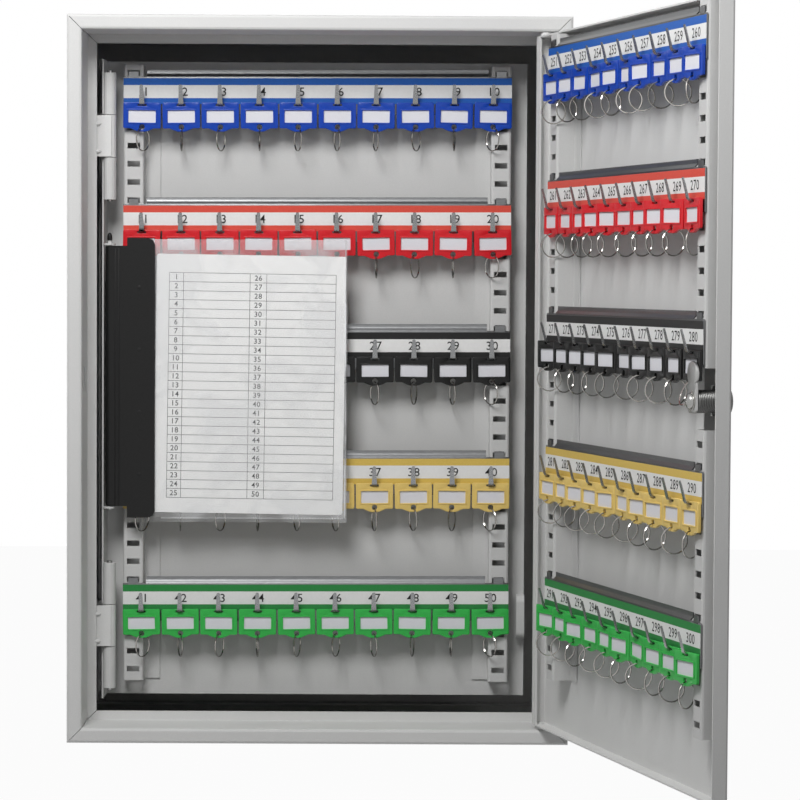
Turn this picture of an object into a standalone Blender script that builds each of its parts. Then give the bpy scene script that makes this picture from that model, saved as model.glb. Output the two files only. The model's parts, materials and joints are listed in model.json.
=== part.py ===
"""Wall key cabinet for 300 keys, in folded sheet steel.

The body has a flush door on its right, two swinging key leaves one behind the other on
its left, and a rack on its back wall. The door, both sides of each leaf and the back
wall all carry the same rack: two slotted uprights with five hook bars on them.

Units are metres. X is to the right, Y runs into the wall and Z is up. The origin is the
middle of the back, where the cabinet hangs on its wall, so the front faces -Y. Depths
are measured backwards from the front plane.
"""
import math

import bmesh
import bpy
from mathutils import Matrix

# Cabinet body
BODY_WIDTH = 0.380
BODY_HEIGHT = 0.550
BODY_DEPTH = 0.205
BODY_SHEET = 0.0012
FRONT_BAND = 0.0114
REBATE_DEPTH = 0.0427
FRAME_LIP = 0.0070
BODY_BEND = 0.0020
MITRE_GAP = 0.0004
BACK_FLANGE = 0.0140
WALL_HOLE = 0.0090
WALL_HOLE_INSET = 0.0550

# Fits
SEAT_GAP = 0.0003
RUNNING_GAP = 0.0005
CUT_OVERRUN = 0.0020
WELD_OVERLAP = 0.0003

# Door
DOOR_GAP = 0.0030
DOOR_FOLD = 0.0113
DOOR_SHEET = 0.0012
DOOR_BEND = 0.0018
DOOR_LIP = 0.0080
DOOR_AXIS_INSET = 0.0058
DOOR_AXIS_DEPTH = 0.0060
DOOR_OPEN_DEGREES = 106.4
DOOR_RACK_SHIFT = -0.0191
DOOR_RACK_RISE = 0.0167
PIVOT_DIAMETER = 0.0040
PIVOT_COLLAR = 0.0085
PIVOT_REACH = 0.0060

# Key rack
UPRIGHT_FACE = 0.0155
UPRIGHT_DEPTH = 0.0148
UPRIGHT_FOOT = 0.0120
UPRIGHT_SHEET = 0.0010
UPRIGHT_BEND = 0.0016
RACK_END_INSET = 0.0365
RACK_SIDE_INSET = 0.0481
SLOT_WIDTH = 0.0097
SLOT_HEIGHT = 0.0043
SLOT_PITCH = 0.0140
FIRST_SLOT_DROP = 0.0061
LOWEST_BAR_ROOM = 0.0600
BAR_ROWS = 5

# Hook bar
BAR_HEIGHT = 0.0294
BAR_SHEET = 0.0010
BAR_TOP_DROP = 0.0030
BAR_SHOULDER_BACK = 0.0022
BAR_SHOULDER_RISE = 0.0032
BAR_TAB_WIDTH = 0.0076
BAR_TAB_HEIGHT = 0.0030
BAR_TAB_LIP = 0.0050
HOOK_COUNT = 10
HOOK_END_INSET = 0.01444
HOOK_ROOT_DROP = 0.0244
HOOK_RISE = 0.0150
HOOK_REACH = 0.0078
HOOK_ROOT_REACH = 0.0042
HOOK_THICKNESS = 0.0012
HOOK_ROOT_WIDTH = 0.0040
HOOK_TIP_WIDTH = 0.0022

# Key tag
TAG_SIDE_GAP = 0.0021
TAG_HEIGHT = 0.0199
TAG_LUG = 0.0022
TAG_LUG_WIDTH = 0.0130
TAG_THICKNESS = 0.0020
TAG_STANDOFF = 0.0004
TAG_ABOVE_HOOK = 0.0014

# Front and rear leaf
LEAF_SHEET = 0.0012
LEAF_BEND = 0.0020
LEAF_RACK_SHIFT = -0.0031
FRONT_LEAF_DEPTH = 0.0770
FRONT_LEAF_SIDE_GAP = 0.0122
FRONT_LEAF_END_INSET = 0.0285
FRONT_LEAF_CENTRE = -0.0015
FRONT_AXIS_INSET = 0.0093
FRONT_AXIS_DEPTH = 0.0500
REAR_LEAF_BIAS = 0.0010
REAR_LEAF_SIDE_GAP = 0.0171
REAR_LEAF_END_INSET = 0.0245
REAR_LEAF_CENTRE = -0.0005
REAR_AXIS_INSET = 0.0195
RACK_TOP_DROP = 0.0035
REAR_AXIS_LEAD = 0.0340
KNUCKLE_DIAMETER = 0.0098
KNUCKLE_LENGTH = 0.0325
HINGE_PIN_DIAMETER = 0.0044
HINGE_PIN_PROUD = 0.0015
HINGE_TOP_DROP = 0.0105
HINGE_BOTTOM_RISE = 0.0080
HINGE_TAB_SHEET = 0.0015

# Finger pull on a leaf
PULL_WIDTH = 0.0062
PULL_HEIGHT = 0.0340
PULL_REACH = 0.0110
PULL_SHEET = 0.0014
PULL_RISE = 0.0625

# Index holder
INDEX_TUBE = 0.0064
INDEX_PIN = 0.0030
INDEX_TUBE_TOP = 0.1020
INDEX_TUBE_BOTTOM = -0.0985
INDEX_PLATE_TOP = 0.1080
INDEX_PLATE_BOTTOM = -0.1073
INDEX_PLATE_LEFT = 0.0137
INDEX_PLATE_RIGHT = 0.0350
INDEX_PLATE_SHEET = 0.0020
INDEX_CORNER = 0.0050
LUG_DIAMETER = 0.0100
LUG_SHEET = 0.0014
LUG_PIN_LENGTH = 0.0040
POCKET_FILM = 0.0003
POCKET_GAP = 0.0010
POCKET_TOP = 0.1072
POCKET_BOTTOM = -0.1107
POCKET_RIGHT = 0.1830
POCKET_SEAM = 0.0040
SHEET_WIDTH = 0.1458
SHEET_HEIGHT = 0.2039
SHEET_THICKNESS = 0.0003
SHEET_DROP = 0.0096
SHEET_SIDE_GAP = 0.0010

# Lock
LOCK_INSET = -0.0012
LOCK_BODY_DIAMETER = 0.0152
LOCK_HEAD_DIAMETER = 0.0200
LOCK_HEAD_PROUD = 0.0025
LOCK_NUT_ACROSS = 0.0195
LOCK_NUT_LENGTH = 0.0040
LOCK_PLUG_DIAMETER = 0.0110
LOCK_PLUG_PROUD = 0.0003
KEYWAY_WIDTH = 0.0018
KEYWAY_HEIGHT = 0.0080
KEYWAY_DEPTH = 0.0100
CAM_PLANE = 0.0206
CAM_SHEET = 0.0020
CAM_WIDTH = 0.0130
CAM_HEAD_DIAMETER = 0.0160
CAM_REACH = 0.0260
CAM_TAIL = 0.0075
CAM_SCREW_HEAD = 0.0100
CAM_SCREW_HEIGHT = 0.0038
NOTCH_ABOVE = 0.0215
NOTCH_BELOW = 0.0185
NOTCH_WEB_TOP = 0.0087

# Facets of round pieces
ROUND_FINE = 24
ROUND_PLAIN = 16
BEND_STEPS = 2

FRONT_Y = -BODY_DEPTH
OPENING_HALF_WIDTH = BODY_WIDTH / 2 - FRONT_BAND - FRAME_LIP
DOOR_WIDTH = BODY_WIDTH - 2 * (FRONT_BAND + DOOR_GAP)
DOOR_HEIGHT = BODY_HEIGHT - 2 * (FRONT_BAND + DOOR_GAP)
DOOR_AXIS_X = DOOR_WIDTH / 2 - DOOR_AXIS_INSET
DOOR_AXIS_Y = FRONT_Y + DOOR_AXIS_DEPTH
FRONT_AXIS_Y = FRONT_Y + FRONT_AXIS_DEPTH
REAR_LEAF_DEPTH = (FRONT_LEAF_DEPTH + BODY_DEPTH) / 2 + REAR_LEAF_BIAS
REAR_AXIS_Y = FRONT_Y + REAR_LEAF_DEPTH - REAR_AXIS_LEAD
FRONT_AXIS_X = FRONT_AXIS_INSET - OPENING_HALF_WIDTH
FRONT_LEAF_RIGHT = OPENING_HALF_WIDTH - FRONT_LEAF_SIDE_GAP
FRONT_LEAF_HEIGHT = BODY_HEIGHT - 2 * FRONT_LEAF_END_INSET
PULL_CENTRE = FRONT_LEAF_CENTRE - FRONT_LEAF_HEIGHT / 2 + PULL_RISE
REAR_AXIS_X = REAR_AXIS_INSET - BODY_WIDTH / 2
REAR_LEAF_RIGHT = OPENING_HALF_WIDTH - REAR_LEAF_SIDE_GAP
REAR_LEAF_HEIGHT = BODY_HEIGHT - 2 * REAR_LEAF_END_INSET
UPRIGHT_LENGTH = BODY_HEIGHT - 2 * RACK_END_INSET
UPRIGHT_SPACING = BODY_WIDTH - 2 * RACK_SIDE_INSET
SLOTS_PER_ROW = int((UPRIGHT_LENGTH - LOWEST_BAR_ROOM) / (SLOT_PITCH * (BAR_ROWS - 1)))
ROW_PITCH = SLOT_PITCH * SLOTS_PER_ROW
RACK_TOP_SLOT = FRONT_LEAF_CENTRE + FRONT_LEAF_HEIGHT / 2 - RACK_TOP_DROP - FIRST_SLOT_DROP
BAR_LENGTH = UPRIGHT_SPACING + UPRIGHT_FACE + SEAT_GAP
HOOK_PITCH = (BAR_LENGTH - 2 * HOOK_END_INSET) / (HOOK_COUNT - 1)
TAG_WIDTH = HOOK_PITCH - TAG_SIDE_GAP
LOCK_X = DOOR_RACK_SHIFT - UPRIGHT_SPACING / 2 + LOCK_INSET
KNUCKLE_RADIUS = KNUCKLE_DIAMETER / 2
KNUCKLE_SPAN = KNUCKLE_LENGTH - RUNNING_GAP
HINGE_LENGTH = 3 * KNUCKLE_LENGTH


def clear_scene():
    """Remove what the file held before."""
    for obj in list(bpy.data.objects):
        bpy.data.objects.remove(obj, do_unlink=True)


def material(name, colour, roughness, metallic):
    """One Principled material."""
    mat = bpy.data.materials.new(name)
    mat.use_nodes = True
    shader = mat.node_tree.nodes["Principled BSDF"]
    shader.inputs["Base Color"].default_value = (*colour, 1)
    shader.inputs["Roughness"].default_value = roughness
    shader.inputs["Metallic"].default_value = metallic
    return mat


def make_materials():
    """The finishes of the cabinet, by name."""
    return {
        "paint": material("grey_powder_coat", (0.62, 0.62, 0.61), 0.45, 0.0),
        "steel": material("zinc_plated_steel", (0.60, 0.60, 0.58), 0.30, 1.0),
        "black": material("black_plastic", (0.015, 0.015, 0.015), 0.40, 0.0),
        "film": material("clear_film", (0.85, 0.86, 0.88), 0.10, 0.0),
        "paper": material("white_card", (0.86, 0.86, 0.84), 0.80, 0.0),
        "blue_bar": material("blue_bar", (0.01, 0.09, 0.45), 0.40, 0.0),
        "red_bar": material("red_bar", (0.62, 0.03, 0.02), 0.40, 0.0),
        "black_bar": material("black_bar", (0.02, 0.02, 0.02), 0.40, 0.0),
        "yellow_bar": material("yellow_bar", (0.72, 0.46, 0.12), 0.40, 0.0),
        "green_bar": material("green_bar", (0.02, 0.36, 0.06), 0.40, 0.0),
    }


ROW_COLOURS = ("blue", "red", "black", "yellow", "green")


def finish(bm):
    """A closed mesh with its faces pointing out."""
    bmesh.ops.recalc_face_normals(bm, faces=bm.faces)
    mesh = bpy.data.meshes.new("shape")
    bm.to_mesh(mesh)
    bm.free()
    return mesh


def prism(outline, low, high, plane):
    """Extrude an outline of (a, b) points from low to high, square to its plane."""
    place = {
        "xy": lambda a, b, c: (a, b, c),
        "xz": lambda a, b, c: (a, c, b),
        "yz": lambda a, b, c: (c, a, b),
    }[plane]
    bm = bmesh.new()
    start = [bm.verts.new(place(a, b, low)) for a, b in outline]
    end = [bm.verts.new(place(a, b, high)) for a, b in outline]
    bm.faces.new(start)
    bm.faces.new(end)
    for i in range(len(outline)):
        j = (i + 1) % len(outline)
        bm.faces.new((start[i], start[j], end[j], end[i]))
    return finish(bm)


def box(x, y, z):
    """A box from (low, high) pairs along X, Y and Z."""
    return prism(((x[0], z[0]), (x[1], z[0]), (x[1], z[1]), (x[0], z[1])), y[0], y[1], "xz")


def circle(radius, centre, count):
    """Points round a circle."""
    turns = [2 * math.pi * i / count for i in range(count)]
    return [(centre[0] + radius * math.cos(a), centre[1] + radius * math.sin(a)) for a in turns]


def arc(centre, radius, start, end, steps):
    """Points along an arc, angles in degrees."""
    angles = [math.radians(start + (end - start) * i / steps) for i in range(steps + 1)]
    return [(centre[0] + radius * math.cos(a), centre[1] + radius * math.sin(a)) for a in angles]


def ring_stack(rings):
    """A solid through rings of four corners, each (left, right, bottom, top, y)."""
    bm = bmesh.new()
    loops = []
    for left, right, bottom, top, y in rings:
        corners = ((left, bottom), (right, bottom), (right, top), (left, top))
        loops.append([bm.verts.new((x, y, z)) for x, z in corners])
    bm.faces.new(loops[0])
    bm.faces.new(loops[-1])
    for near, far in zip(loops, loops[1:]):
        for i in range(4):
            j = (i + 1) % 4
            bm.faces.new((near[i], near[j], far[j], far[i]))
    return finish(bm)


def frame_sweep(profile, half_width, half_height):
    """Carry a closed profile of (inset, y) points round a rectangle, mitred at its corners."""
    bm = bmesh.new()
    corners = ((-1, -1), (1, -1), (1, 1), (-1, 1))
    loops = []
    for sx, sz in corners:
        loop = []
        for inset, y in profile:
            loop.append(bm.verts.new((sx * (half_width - inset), y, sz * (half_height - inset))))
        loops.append(loop)
    for k in range(4):
        here, there = loops[k], loops[(k + 1) % 4]
        for i in range(len(profile)):
            j = (i + 1) % len(profile)
            bm.faces.new((here[i], here[j], there[j], there[i]))
    return finish(bm)


def tube(centre, outer, inner, low, high, count):
    """An upright tube round (x, y), open at both ends."""
    bm = bmesh.new()
    loops = []
    for radius, z in ((outer, low), (outer, high), (inner, high), (inner, low)):
        loops.append([bm.verts.new((x, y, z)) for x, y in circle(radius, centre, count)])
    for k in range(4):
        here, there = loops[k], loops[(k + 1) % 4]
        for i in range(count):
            j = (i + 1) % count
            bm.faces.new((here[i], here[j], there[j], there[i]))
    return finish(bm)


def gather(meshes):
    """Put several meshes that don't touch into one mesh."""
    bm = bmesh.new()
    for mesh in meshes:
        bm.from_mesh(mesh)
    mesh = bpy.data.meshes.new("shape")
    bm.to_mesh(mesh)
    bm.free()
    return mesh


def moved(mesh, x=0, y=0, z=0, turn=0):
    """A copy of a mesh, turned about Z by degrees and then moved."""
    copy = mesh.copy()
    copy.transform(Matrix.Translation((x, y, z)) @ Matrix.Rotation(math.radians(turn), 4, "Z"))
    return copy


def combine(base, steps):
    """Join or cut meshes in turn with exact Booleans; steps are (operation, mesh)."""
    scene = bpy.context.scene.collection
    main = bpy.data.objects.new("combined", base)
    scene.objects.link(main)
    helpers = []
    for operation, mesh in steps:
        helper = bpy.data.objects.new("helper", mesh)
        scene.objects.link(helper)
        helpers.append(helper)
        modifier = main.modifiers.new(operation, "BOOLEAN")
        modifier.operation = operation
        modifier.solver = "EXACT"
        modifier.object = helper
    graph = bpy.context.evaluated_depsgraph_get()
    result = bpy.data.meshes.new_from_object(main.evaluated_get(graph))
    for obj in helpers + [main]:
        bpy.data.objects.remove(obj, do_unlink=True)
    return result


def node(name, mesh, mat, parent=None, smooth=False):
    """One named sub-part, which may share its mesh with its twins."""
    if smooth:
        mesh.shade_smooth()
        mesh.set_sharp_from_angle(angle=math.radians(35))
    obj = bpy.data.objects.new(name, mesh)
    bpy.context.scene.collection.objects.link(obj)
    if not mesh.materials:
        mesh.materials.append(None)
    obj.material_slots[0].link = "OBJECT"
    obj.material_slots[0].material = mat
    obj.parent = parent
    return obj


def pivot(name, x, y, turn=0):
    """An empty on an upright joint axis."""
    empty = bpy.data.objects.new(name, None)
    empty.location = (x, y, 0)
    empty.rotation_euler = (0, 0, math.radians(turn))
    bpy.context.scene.collection.objects.link(empty)
    return empty


def body_profile():
    """The folded body wall in section: side, front band, rebate wall and inner lip."""
    t, r, band = BODY_SHEET, BODY_BEND, FRONT_BAND
    front, rear = FRONT_Y, FRONT_Y + REBATE_DEPTH
    outer = [(0, 0)]
    outer += arc((r, front + r), r, 180, 270, BEND_STEPS)
    outer += arc((band - r, front + r), r, 270, 360, BEND_STEPS)
    outer += [(band, rear), (band + FRAME_LIP, rear)]
    inner = [(band + FRAME_LIP, rear + t), (band - t, rear + t)]
    inner += [(band - t, front + r), (band - r, front + t), (r, front + t), (t, front + r), (t, 0)]
    return outer + inner


def mitre_cutter(side_x, side_z):
    """A thin blade through one front corner, along the mitre from the outer bend inwards."""
    near, far = BODY_BEND, FRONT_BAND + FRAME_LIP + CUT_OVERRUN
    low, high = FRONT_Y - CUT_OVERRUN, FRONT_Y + REBATE_DEPTH + BODY_SHEET + CUT_OVERRUN
    across = MITRE_GAP / math.sqrt(2)
    corner = (side_x * BODY_WIDTH / 2, side_z * BODY_HEIGHT / 2)
    points = []
    for inset, sign in ((near, -1), (far, -1), (far, 1), (near, 1)):
        points.append((corner[0] - side_x * (inset + sign * across / 2),
                       corner[1] - side_z * (inset - sign * across / 2)))
    return prism(points, low, high, "xz")


def cam_slot():
    """The slot in the rebate wall that the lock's cam turns into."""
    wall = BODY_WIDTH / 2 - FRONT_BAND
    half = CAM_HEAD_DIAMETER / 2 + DOOR_GAP / 2
    depth = FRONT_Y + CAM_PLANE
    return box((-wall - BODY_SHEET - CUT_OVERRUN, -wall + CUT_OVERRUN),
               (depth - CAM_SHEET, depth + 2 * CAM_SHEET), (-half, half))


def pivot_holes():
    """Holes for the door's pivots in the top and bottom rebate walls."""
    reach = BODY_HEIGHT / 2 - FRONT_BAND
    hole = circle(PIVOT_DIAMETER / 2 + SEAT_GAP, (DOOR_AXIS_X, DOOR_AXIS_Y), ROUND_PLAIN)
    far = reach + BODY_SHEET + CUT_OVERRUN
    return gather([prism(hole, reach - CUT_OVERRUN, far, "xy"),
                   prism(hole, -far, CUT_OVERRUN - reach, "xy")])


def build_body(mats):
    """The folded shell and the flanged back panel that is welded into it."""
    shell = frame_sweep(body_profile(), BODY_WIDTH / 2, BODY_HEIGHT / 2)
    blades = gather([mitre_cutter(sx, sz) for sx in (-1, 1) for sz in (-1, 1)])
    cuts = [("DIFFERENCE", blades), ("DIFFERENCE", pivot_holes()), ("DIFFERENCE", cam_slot())]
    node("body_shell", combine(shell, cuts), mats["paint"], smooth=True)

    half_x = BODY_WIDTH / 2 - BODY_SHEET - SEAT_GAP
    half_z = BODY_HEIGHT / 2 - BODY_SHEET - SEAT_GAP
    inner_x, inner_z = half_x - BODY_SHEET, half_z - BODY_SHEET
    tray = ring_stack([
        (-half_x, half_x, -half_z, half_z, 0),
        (-half_x, half_x, -half_z, half_z, -BACK_FLANGE),
        (-inner_x, inner_x, -inner_z, inner_z, -BACK_FLANGE),
        (-inner_x, inner_x, -inner_z, inner_z, -BODY_SHEET),
    ])
    hole_x, hole_z = BODY_WIDTH / 2 - WALL_HOLE_INSET, BODY_HEIGHT / 2 - WALL_HOLE_INSET
    holes = []
    for x in (-hole_x, hole_x):
        for z in (-hole_z, hole_z):
            outline = circle(WALL_HOLE / 2, (x, z), ROUND_PLAIN)
            holes.append(prism(outline, -BODY_SHEET - CUT_OVERRUN, CUT_OVERRUN, "xz"))
    rack_y = -BODY_SHEET - UPRIGHT_DEPTH
    uprights = [moved(upright_mesh(side, False), LEAF_RACK_SHIFT + side * UPRIGHT_SPACING / 2,
                      rack_y + WELD_OVERLAP, RACK_TOP_SLOT) for side in (-1, 1)]
    steps = [("DIFFERENCE", gather(holes)), ("UNION", gather(uprights))]
    node("back_panel", combine(tray, steps), mats["paint"], smooth=True)
    return rack_y + WELD_OVERLAP


def upright_section(side):
    """A folded upright in section: face at y = 0, two walls and one foot towards the middle."""
    half, depth, t, r = UPRIGHT_FACE / 2, UPRIGHT_DEPTH, UPRIGHT_SHEET, UPRIGHT_BEND
    points = [(-half, depth)]
    points += arc((r - half, r), r, 180, 270, BEND_STEPS)
    points += arc((half - r, r), r, 270, 360, BEND_STEPS)
    points += [(half, depth - t), (half + UPRIGHT_FOOT, depth - t), (half + UPRIGHT_FOOT, depth)]
    points += [(half - t, depth), (half - t, r), (half - r, t), (r - half, t)]
    points += [(t - half, r), (t - half, depth)]
    return [(-side * x, y) for x, y in points]


def upright_mesh(side, full):
    """An upright with z = 0 at its first slot; hidden ones keep only the slots in use."""
    top = FIRST_SLOT_DROP
    bar = prism(upright_section(side), top - UPRIGHT_LENGTH, top, "xy")
    count = int((UPRIGHT_LENGTH - 2 * FIRST_SLOT_DROP) / SLOT_PITCH) + 1
    step = 1 if full else SLOTS_PER_ROW
    wide, high = SLOT_WIDTH / 2, SLOT_HEIGHT / 2
    slots = []
    for k in range(0, count, step):
        z = -k * SLOT_PITCH
        slots.append(box((-wide, wide), (-CUT_OVERRUN, UPRIGHT_SHEET + CUT_OVERRUN),
                         (z - high, z + high)))
    return combine(bar, [("DIFFERENCE", gather(slots))])


def hook_mesh(x):
    """One lanced hook: out from the bar, then up, narrowing to its tip."""
    t = HOOK_THICKNESS
    root, tip = -HOOK_ROOT_DROP, HOOK_RISE - HOOK_ROOT_DROP
    face = -SEAT_GAP - BAR_SHEET
    wide, slim = HOOK_ROOT_WIDTH / 2, HOOK_TIP_WIDTH / 2
    path = ((face + WELD_OVERLAP, root, root - t, wide), (face - HOOK_ROOT_REACH, root, root - t, wide))
    bm = bmesh.new()
    rows = []
    for y, upper, lower, half in path:
        rows.append([bm.verts.new((x + s * half, y + shift, z))
                     for s, z, shift in ((-1, lower, 0), (1, lower, 0), (1, upper, 0), (-1, upper, 0))])
    end = face - HOOK_REACH
    rows[1][2].co.y += t
    rows[1][3].co.y += t
    rows.append([bm.verts.new((x + s * slim, y, tip))
                 for s, y in ((-1, end), (1, end), (1, end + t), (-1, end + t))])
    for near, far in zip(rows, rows[1:]):
        for i in range(4):
            j = (i + 1) % 4
            bm.faces.new((near[i], near[j], far[j], far[i]))
    bm.faces.new(rows[0])
    bm.faces.new(rows[-1])
    return finish(bm)


def tag_mesh(x):
    """One key tag hanging on its hook, with the lug that takes its ring."""
    top = TAG_ABOVE_HOOK - HOOK_ROOT_DROP
    bottom, half, lug = top - TAG_HEIGHT, TAG_WIDTH / 2, TAG_LUG_WIDTH / 2
    outline = [(-half, top), (-half, bottom), (-lug, bottom), (-lug / 2, bottom - TAG_LUG),
               (lug / 2, bottom - TAG_LUG), (lug, bottom), (half, bottom), (half, top)]
    back = -SEAT_GAP - BAR_SHEET - TAG_STANDOFF
    return prism([(x + a, b) for a, b in outline], back - TAG_THICKNESS, back, "xz")


def bar_mesh(tagged):
    """A hook bar; x = 0 at its middle, y = 0 on the uprights' faces, z = 0 at its slots."""
    back, face = -SEAT_GAP, -SEAT_GAP - BAR_SHEET
    top, half = -BAR_TOP_DROP, BAR_LENGTH / 2
    strip = box((-half, half), (face, back), (top - BAR_HEIGHT, top))
    places = [(i - (HOOK_COUNT - 1) / 2) * HOOK_PITCH for i in range(HOOK_COUNT)]
    steps = [("UNION", gather([hook_mesh(x) for x in places])), ("UNION", bar_shoulder())]
    steps.append(("UNION", gather([bar_tab(side * UPRIGHT_SPACING / 2) for side in (-1, 1)])))
    if tagged:
        steps.append(("UNION", gather([tag_mesh(x) for x in places])))
    return combine(strip, steps)


def bar_shoulder():
    """The bar's stiffening edge between the uprights: back at a slant, then straight up."""
    face, t, low = -SEAT_GAP - BAR_SHEET, BAR_SHEET, -BAR_TOP_DROP
    back = face + BAR_SHOULDER_BACK
    bend, top = low + BAR_SHOULDER_BACK, low + BAR_SHOULDER_BACK + BAR_SHOULDER_RISE
    half = UPRIGHT_SPACING / 2 - UPRIGHT_FACE / 2 - 2 * UPRIGHT_SHEET
    outline = [(face, low - WELD_OVERLAP), (face, low), (back, bend), (back, top), (back + t, top)]
    outline += [(back + t, bend), (face + t, low), (face + t, low - WELD_OVERLAP)]
    return prism(outline, -half, half, "yz")


def bar_tab(x):
    """A hooked tab through an upright's slot: up from the bar, back, and down inside."""
    half, high = BAR_TAB_WIDTH / 2, BAR_TAB_HEIGHT / 2
    face, back = -SEAT_GAP - BAR_SHEET, -SEAT_GAP
    inside = UPRIGHT_SHEET + SEAT_GAP
    low = -BAR_TOP_DROP - WELD_OVERLAP
    outline = [(face, low), (face, high), (inside + BAR_SHEET, high)]
    outline += [(inside + BAR_SHEET, high - BAR_TAB_LIP), (inside, high - BAR_TAB_LIP)]
    outline += [(inside, -high), (back, -high), (back, low)]
    return prism(outline, x - half, x + half, "yz")


def hang_bars(prefix, mesh, mats, parent, x, y, z, turn):
    """Hang the five bars of one rack, top row first."""
    for row, colour in enumerate(ROW_COLOURS):
        bar = node(f"{prefix}_{colour}", mesh, mats[colour + "_bar"], parent)
        bar.location = (x, y, z - row * ROW_PITCH)
        bar.rotation_euler = (0, 0, math.radians(turn))


def stand_uprights(names, meshes, mats, parent, x, y, z, turn):
    """Stand a pair of uprights on a sheet, feet towards the middle."""
    for name, mesh, side in zip(names, meshes, (-1, 1)):
        upright = node(name, mesh, mats["paint"], parent, smooth=True)
        reach = side * UPRIGHT_SPACING / 2
        upright.location = (x + reach * math.cos(math.radians(turn)), y, z)
        upright.rotation_euler = (0, 0, math.radians(turn))


def knuckle_rows(top, bottom):
    """Heights of a leaf's two hinges: (moving, fixed, moving) knuckles in each."""
    upper = top - HINGE_TOP_DROP
    lower = bottom + HINGE_BOTTOM_RISE + HINGE_LENGTH
    return [[(start - k * KNUCKLE_LENGTH - KNUCKLE_SPAN, start - k * KNUCKLE_LENGTH)
             for k in range(3)] for start in (upper, lower)]


def leaf_sheet(axis_x, axis_y, plane_y, right, top, bottom):
    """A leaf's sheet: the panel, and the flange that comes forward to its hinges."""
    t, r = LEAF_SHEET, LEAF_BEND
    left = WELD_OVERLAP - KNUCKLE_RADIUS
    depth = plane_y - axis_y
    outline = [(left - t, -RUNNING_GAP), (left, -RUNNING_GAP), (left, depth - r + t)]
    outline += [(left + r - t, depth), (right - axis_x, depth), (right - axis_x, depth + t)]
    outline += arc((left - t + r, depth + t - r), r, 90, 180, BEND_STEPS)
    return prism(outline, bottom, top, "xy")


def leaf_mesh(axis_x, axis_y, plane_y, right, top, bottom, extra):
    """A leaf's sheet with its knuckles welded on and room for the fixed knuckles."""
    hinges = knuckle_rows(top, bottom)
    barrels, gaps = [], []
    bore = HINGE_PIN_DIAMETER / 2 + SEAT_GAP
    for upper, fixed, lower in hinges:
        for low, high in (upper, lower):
            barrels.append(tube((0, 0), KNUCKLE_RADIUS, bore, low, high, ROUND_PLAIN))
        gaps.append(box((-3 * KNUCKLE_RADIUS, 0), (-KNUCKLE_RADIUS, 2 * KNUCKLE_RADIUS),
                        (fixed[0] - RUNNING_GAP, fixed[1] + 2 * RUNNING_GAP)))
    steps = [("DIFFERENCE", gather(gaps)), ("UNION", gather(barrels))]
    return combine(leaf_sheet(axis_x, axis_y, plane_y, right, top, bottom), steps + extra)


def fixed_knuckle(tab_x, tab_y, low, high):
    """The cabinet's knuckle of a leaf hinge, with the tab that is welded to the body."""
    bore = circle(HINGE_PIN_DIAMETER / 2 + SEAT_GAP, (0, 0), ROUND_PLAIN)
    barrel = prism(circle(KNUCKLE_RADIUS, (0, 0), ROUND_PLAIN), low, high, "xy")
    hole = prism(bore, low - CUT_OVERRUN, high + CUT_OVERRUN, "xy")
    tab = box((tab_x, KNUCKLE_RADIUS / 3), (tab_y, tab_y + HINGE_TAB_SHEET),
              (low + WELD_OVERLAP, high - WELD_OVERLAP))
    return combine(barrel, [("UNION", tab), ("DIFFERENCE", hole)])


def hinge_pin(low, high):
    """A headed pin that drops through the three knuckles of a hinge."""
    shank = circle(HINGE_PIN_DIAMETER / 2, (0, 0), ROUND_PLAIN)
    return prism(shank, low, high, "xy")


def build_leaf_hinges(prefix, mats, axis, tab_x, tab_y, top, bottom):
    """The fixed knuckles and the pins of one leaf."""
    for place, (upper, fixed, lower) in zip(("upper", "lower"), knuckle_rows(top, bottom)):
        barrel = fixed_knuckle(tab_x, tab_y, *fixed)
        knuckle = node(f"{prefix}_knuckle_{place}", barrel, mats["paint"], smooth=True)
        knuckle.location = (axis[0], axis[1], 0)
        shank = hinge_pin(lower[0] - HINGE_PIN_PROUD, upper[1] + HINGE_PIN_PROUD)
        pin = node(f"{prefix}_pin_{place}", shank, mats["steel"], smooth=True)
        pin.location = (axis[0], axis[1], 0)


def index_lugs():
    """Two round lugs on the front leaf's flange, with the pins that the index turns on."""
    parts = []
    for seat, way in ((INDEX_TUBE_TOP + RUNNING_GAP, 1), (INDEX_TUBE_BOTTOM - RUNNING_GAP, -1)):
        disc = circle(LUG_DIAMETER / 2, (-WELD_OVERLAP, 0), ROUND_PLAIN)
        far = seat + way * LUG_SHEET
        parts.append(prism(disc, min(seat, far), max(seat, far), "xy"))
    return gather(parts)


def index_pins():
    """The two pins of the index lugs, reaching into the ends of its tube."""
    parts = []
    for seat, way in ((INDEX_TUBE_TOP, 1), (INDEX_TUBE_BOTTOM, -1)):
        shank = circle(INDEX_PIN / 2, (0, 0), ROUND_PLAIN)
        near = seat - way * LUG_PIN_LENGTH
        far = seat + way * (RUNNING_GAP + LUG_SHEET + HINGE_PIN_PROUD)
        parts.append(prism(shank, min(near, far), max(near, far), "xy"))
    return gather(parts)


def pull_mesh(right, plane):
    """A bent strap that a finger hooks behind."""
    t, reach, half = PULL_SHEET, PULL_REACH, PULL_HEIGHT / 2
    r = reach - t
    base = plane - SEAT_GAP
    outer = [(base, half), (base - reach / 2, half - t), (base - reach, half - reach)]
    outer += [(base - reach, reach - half), (base - reach / 2, t - half), (base, -half)]
    inner = [(base, t - half), (base - reach / 2 + t / 2, 2 * t - half), (base - r, reach - half)]
    inner += [(base - r, half - reach), (base - reach / 2 + t / 2, half - 2 * t), (base, half - t)]
    outline = [(y, z + PULL_CENTRE) for y, z in outer + inner]
    return prism(outline, right - PULL_WIDTH, right, "yz")


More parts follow.
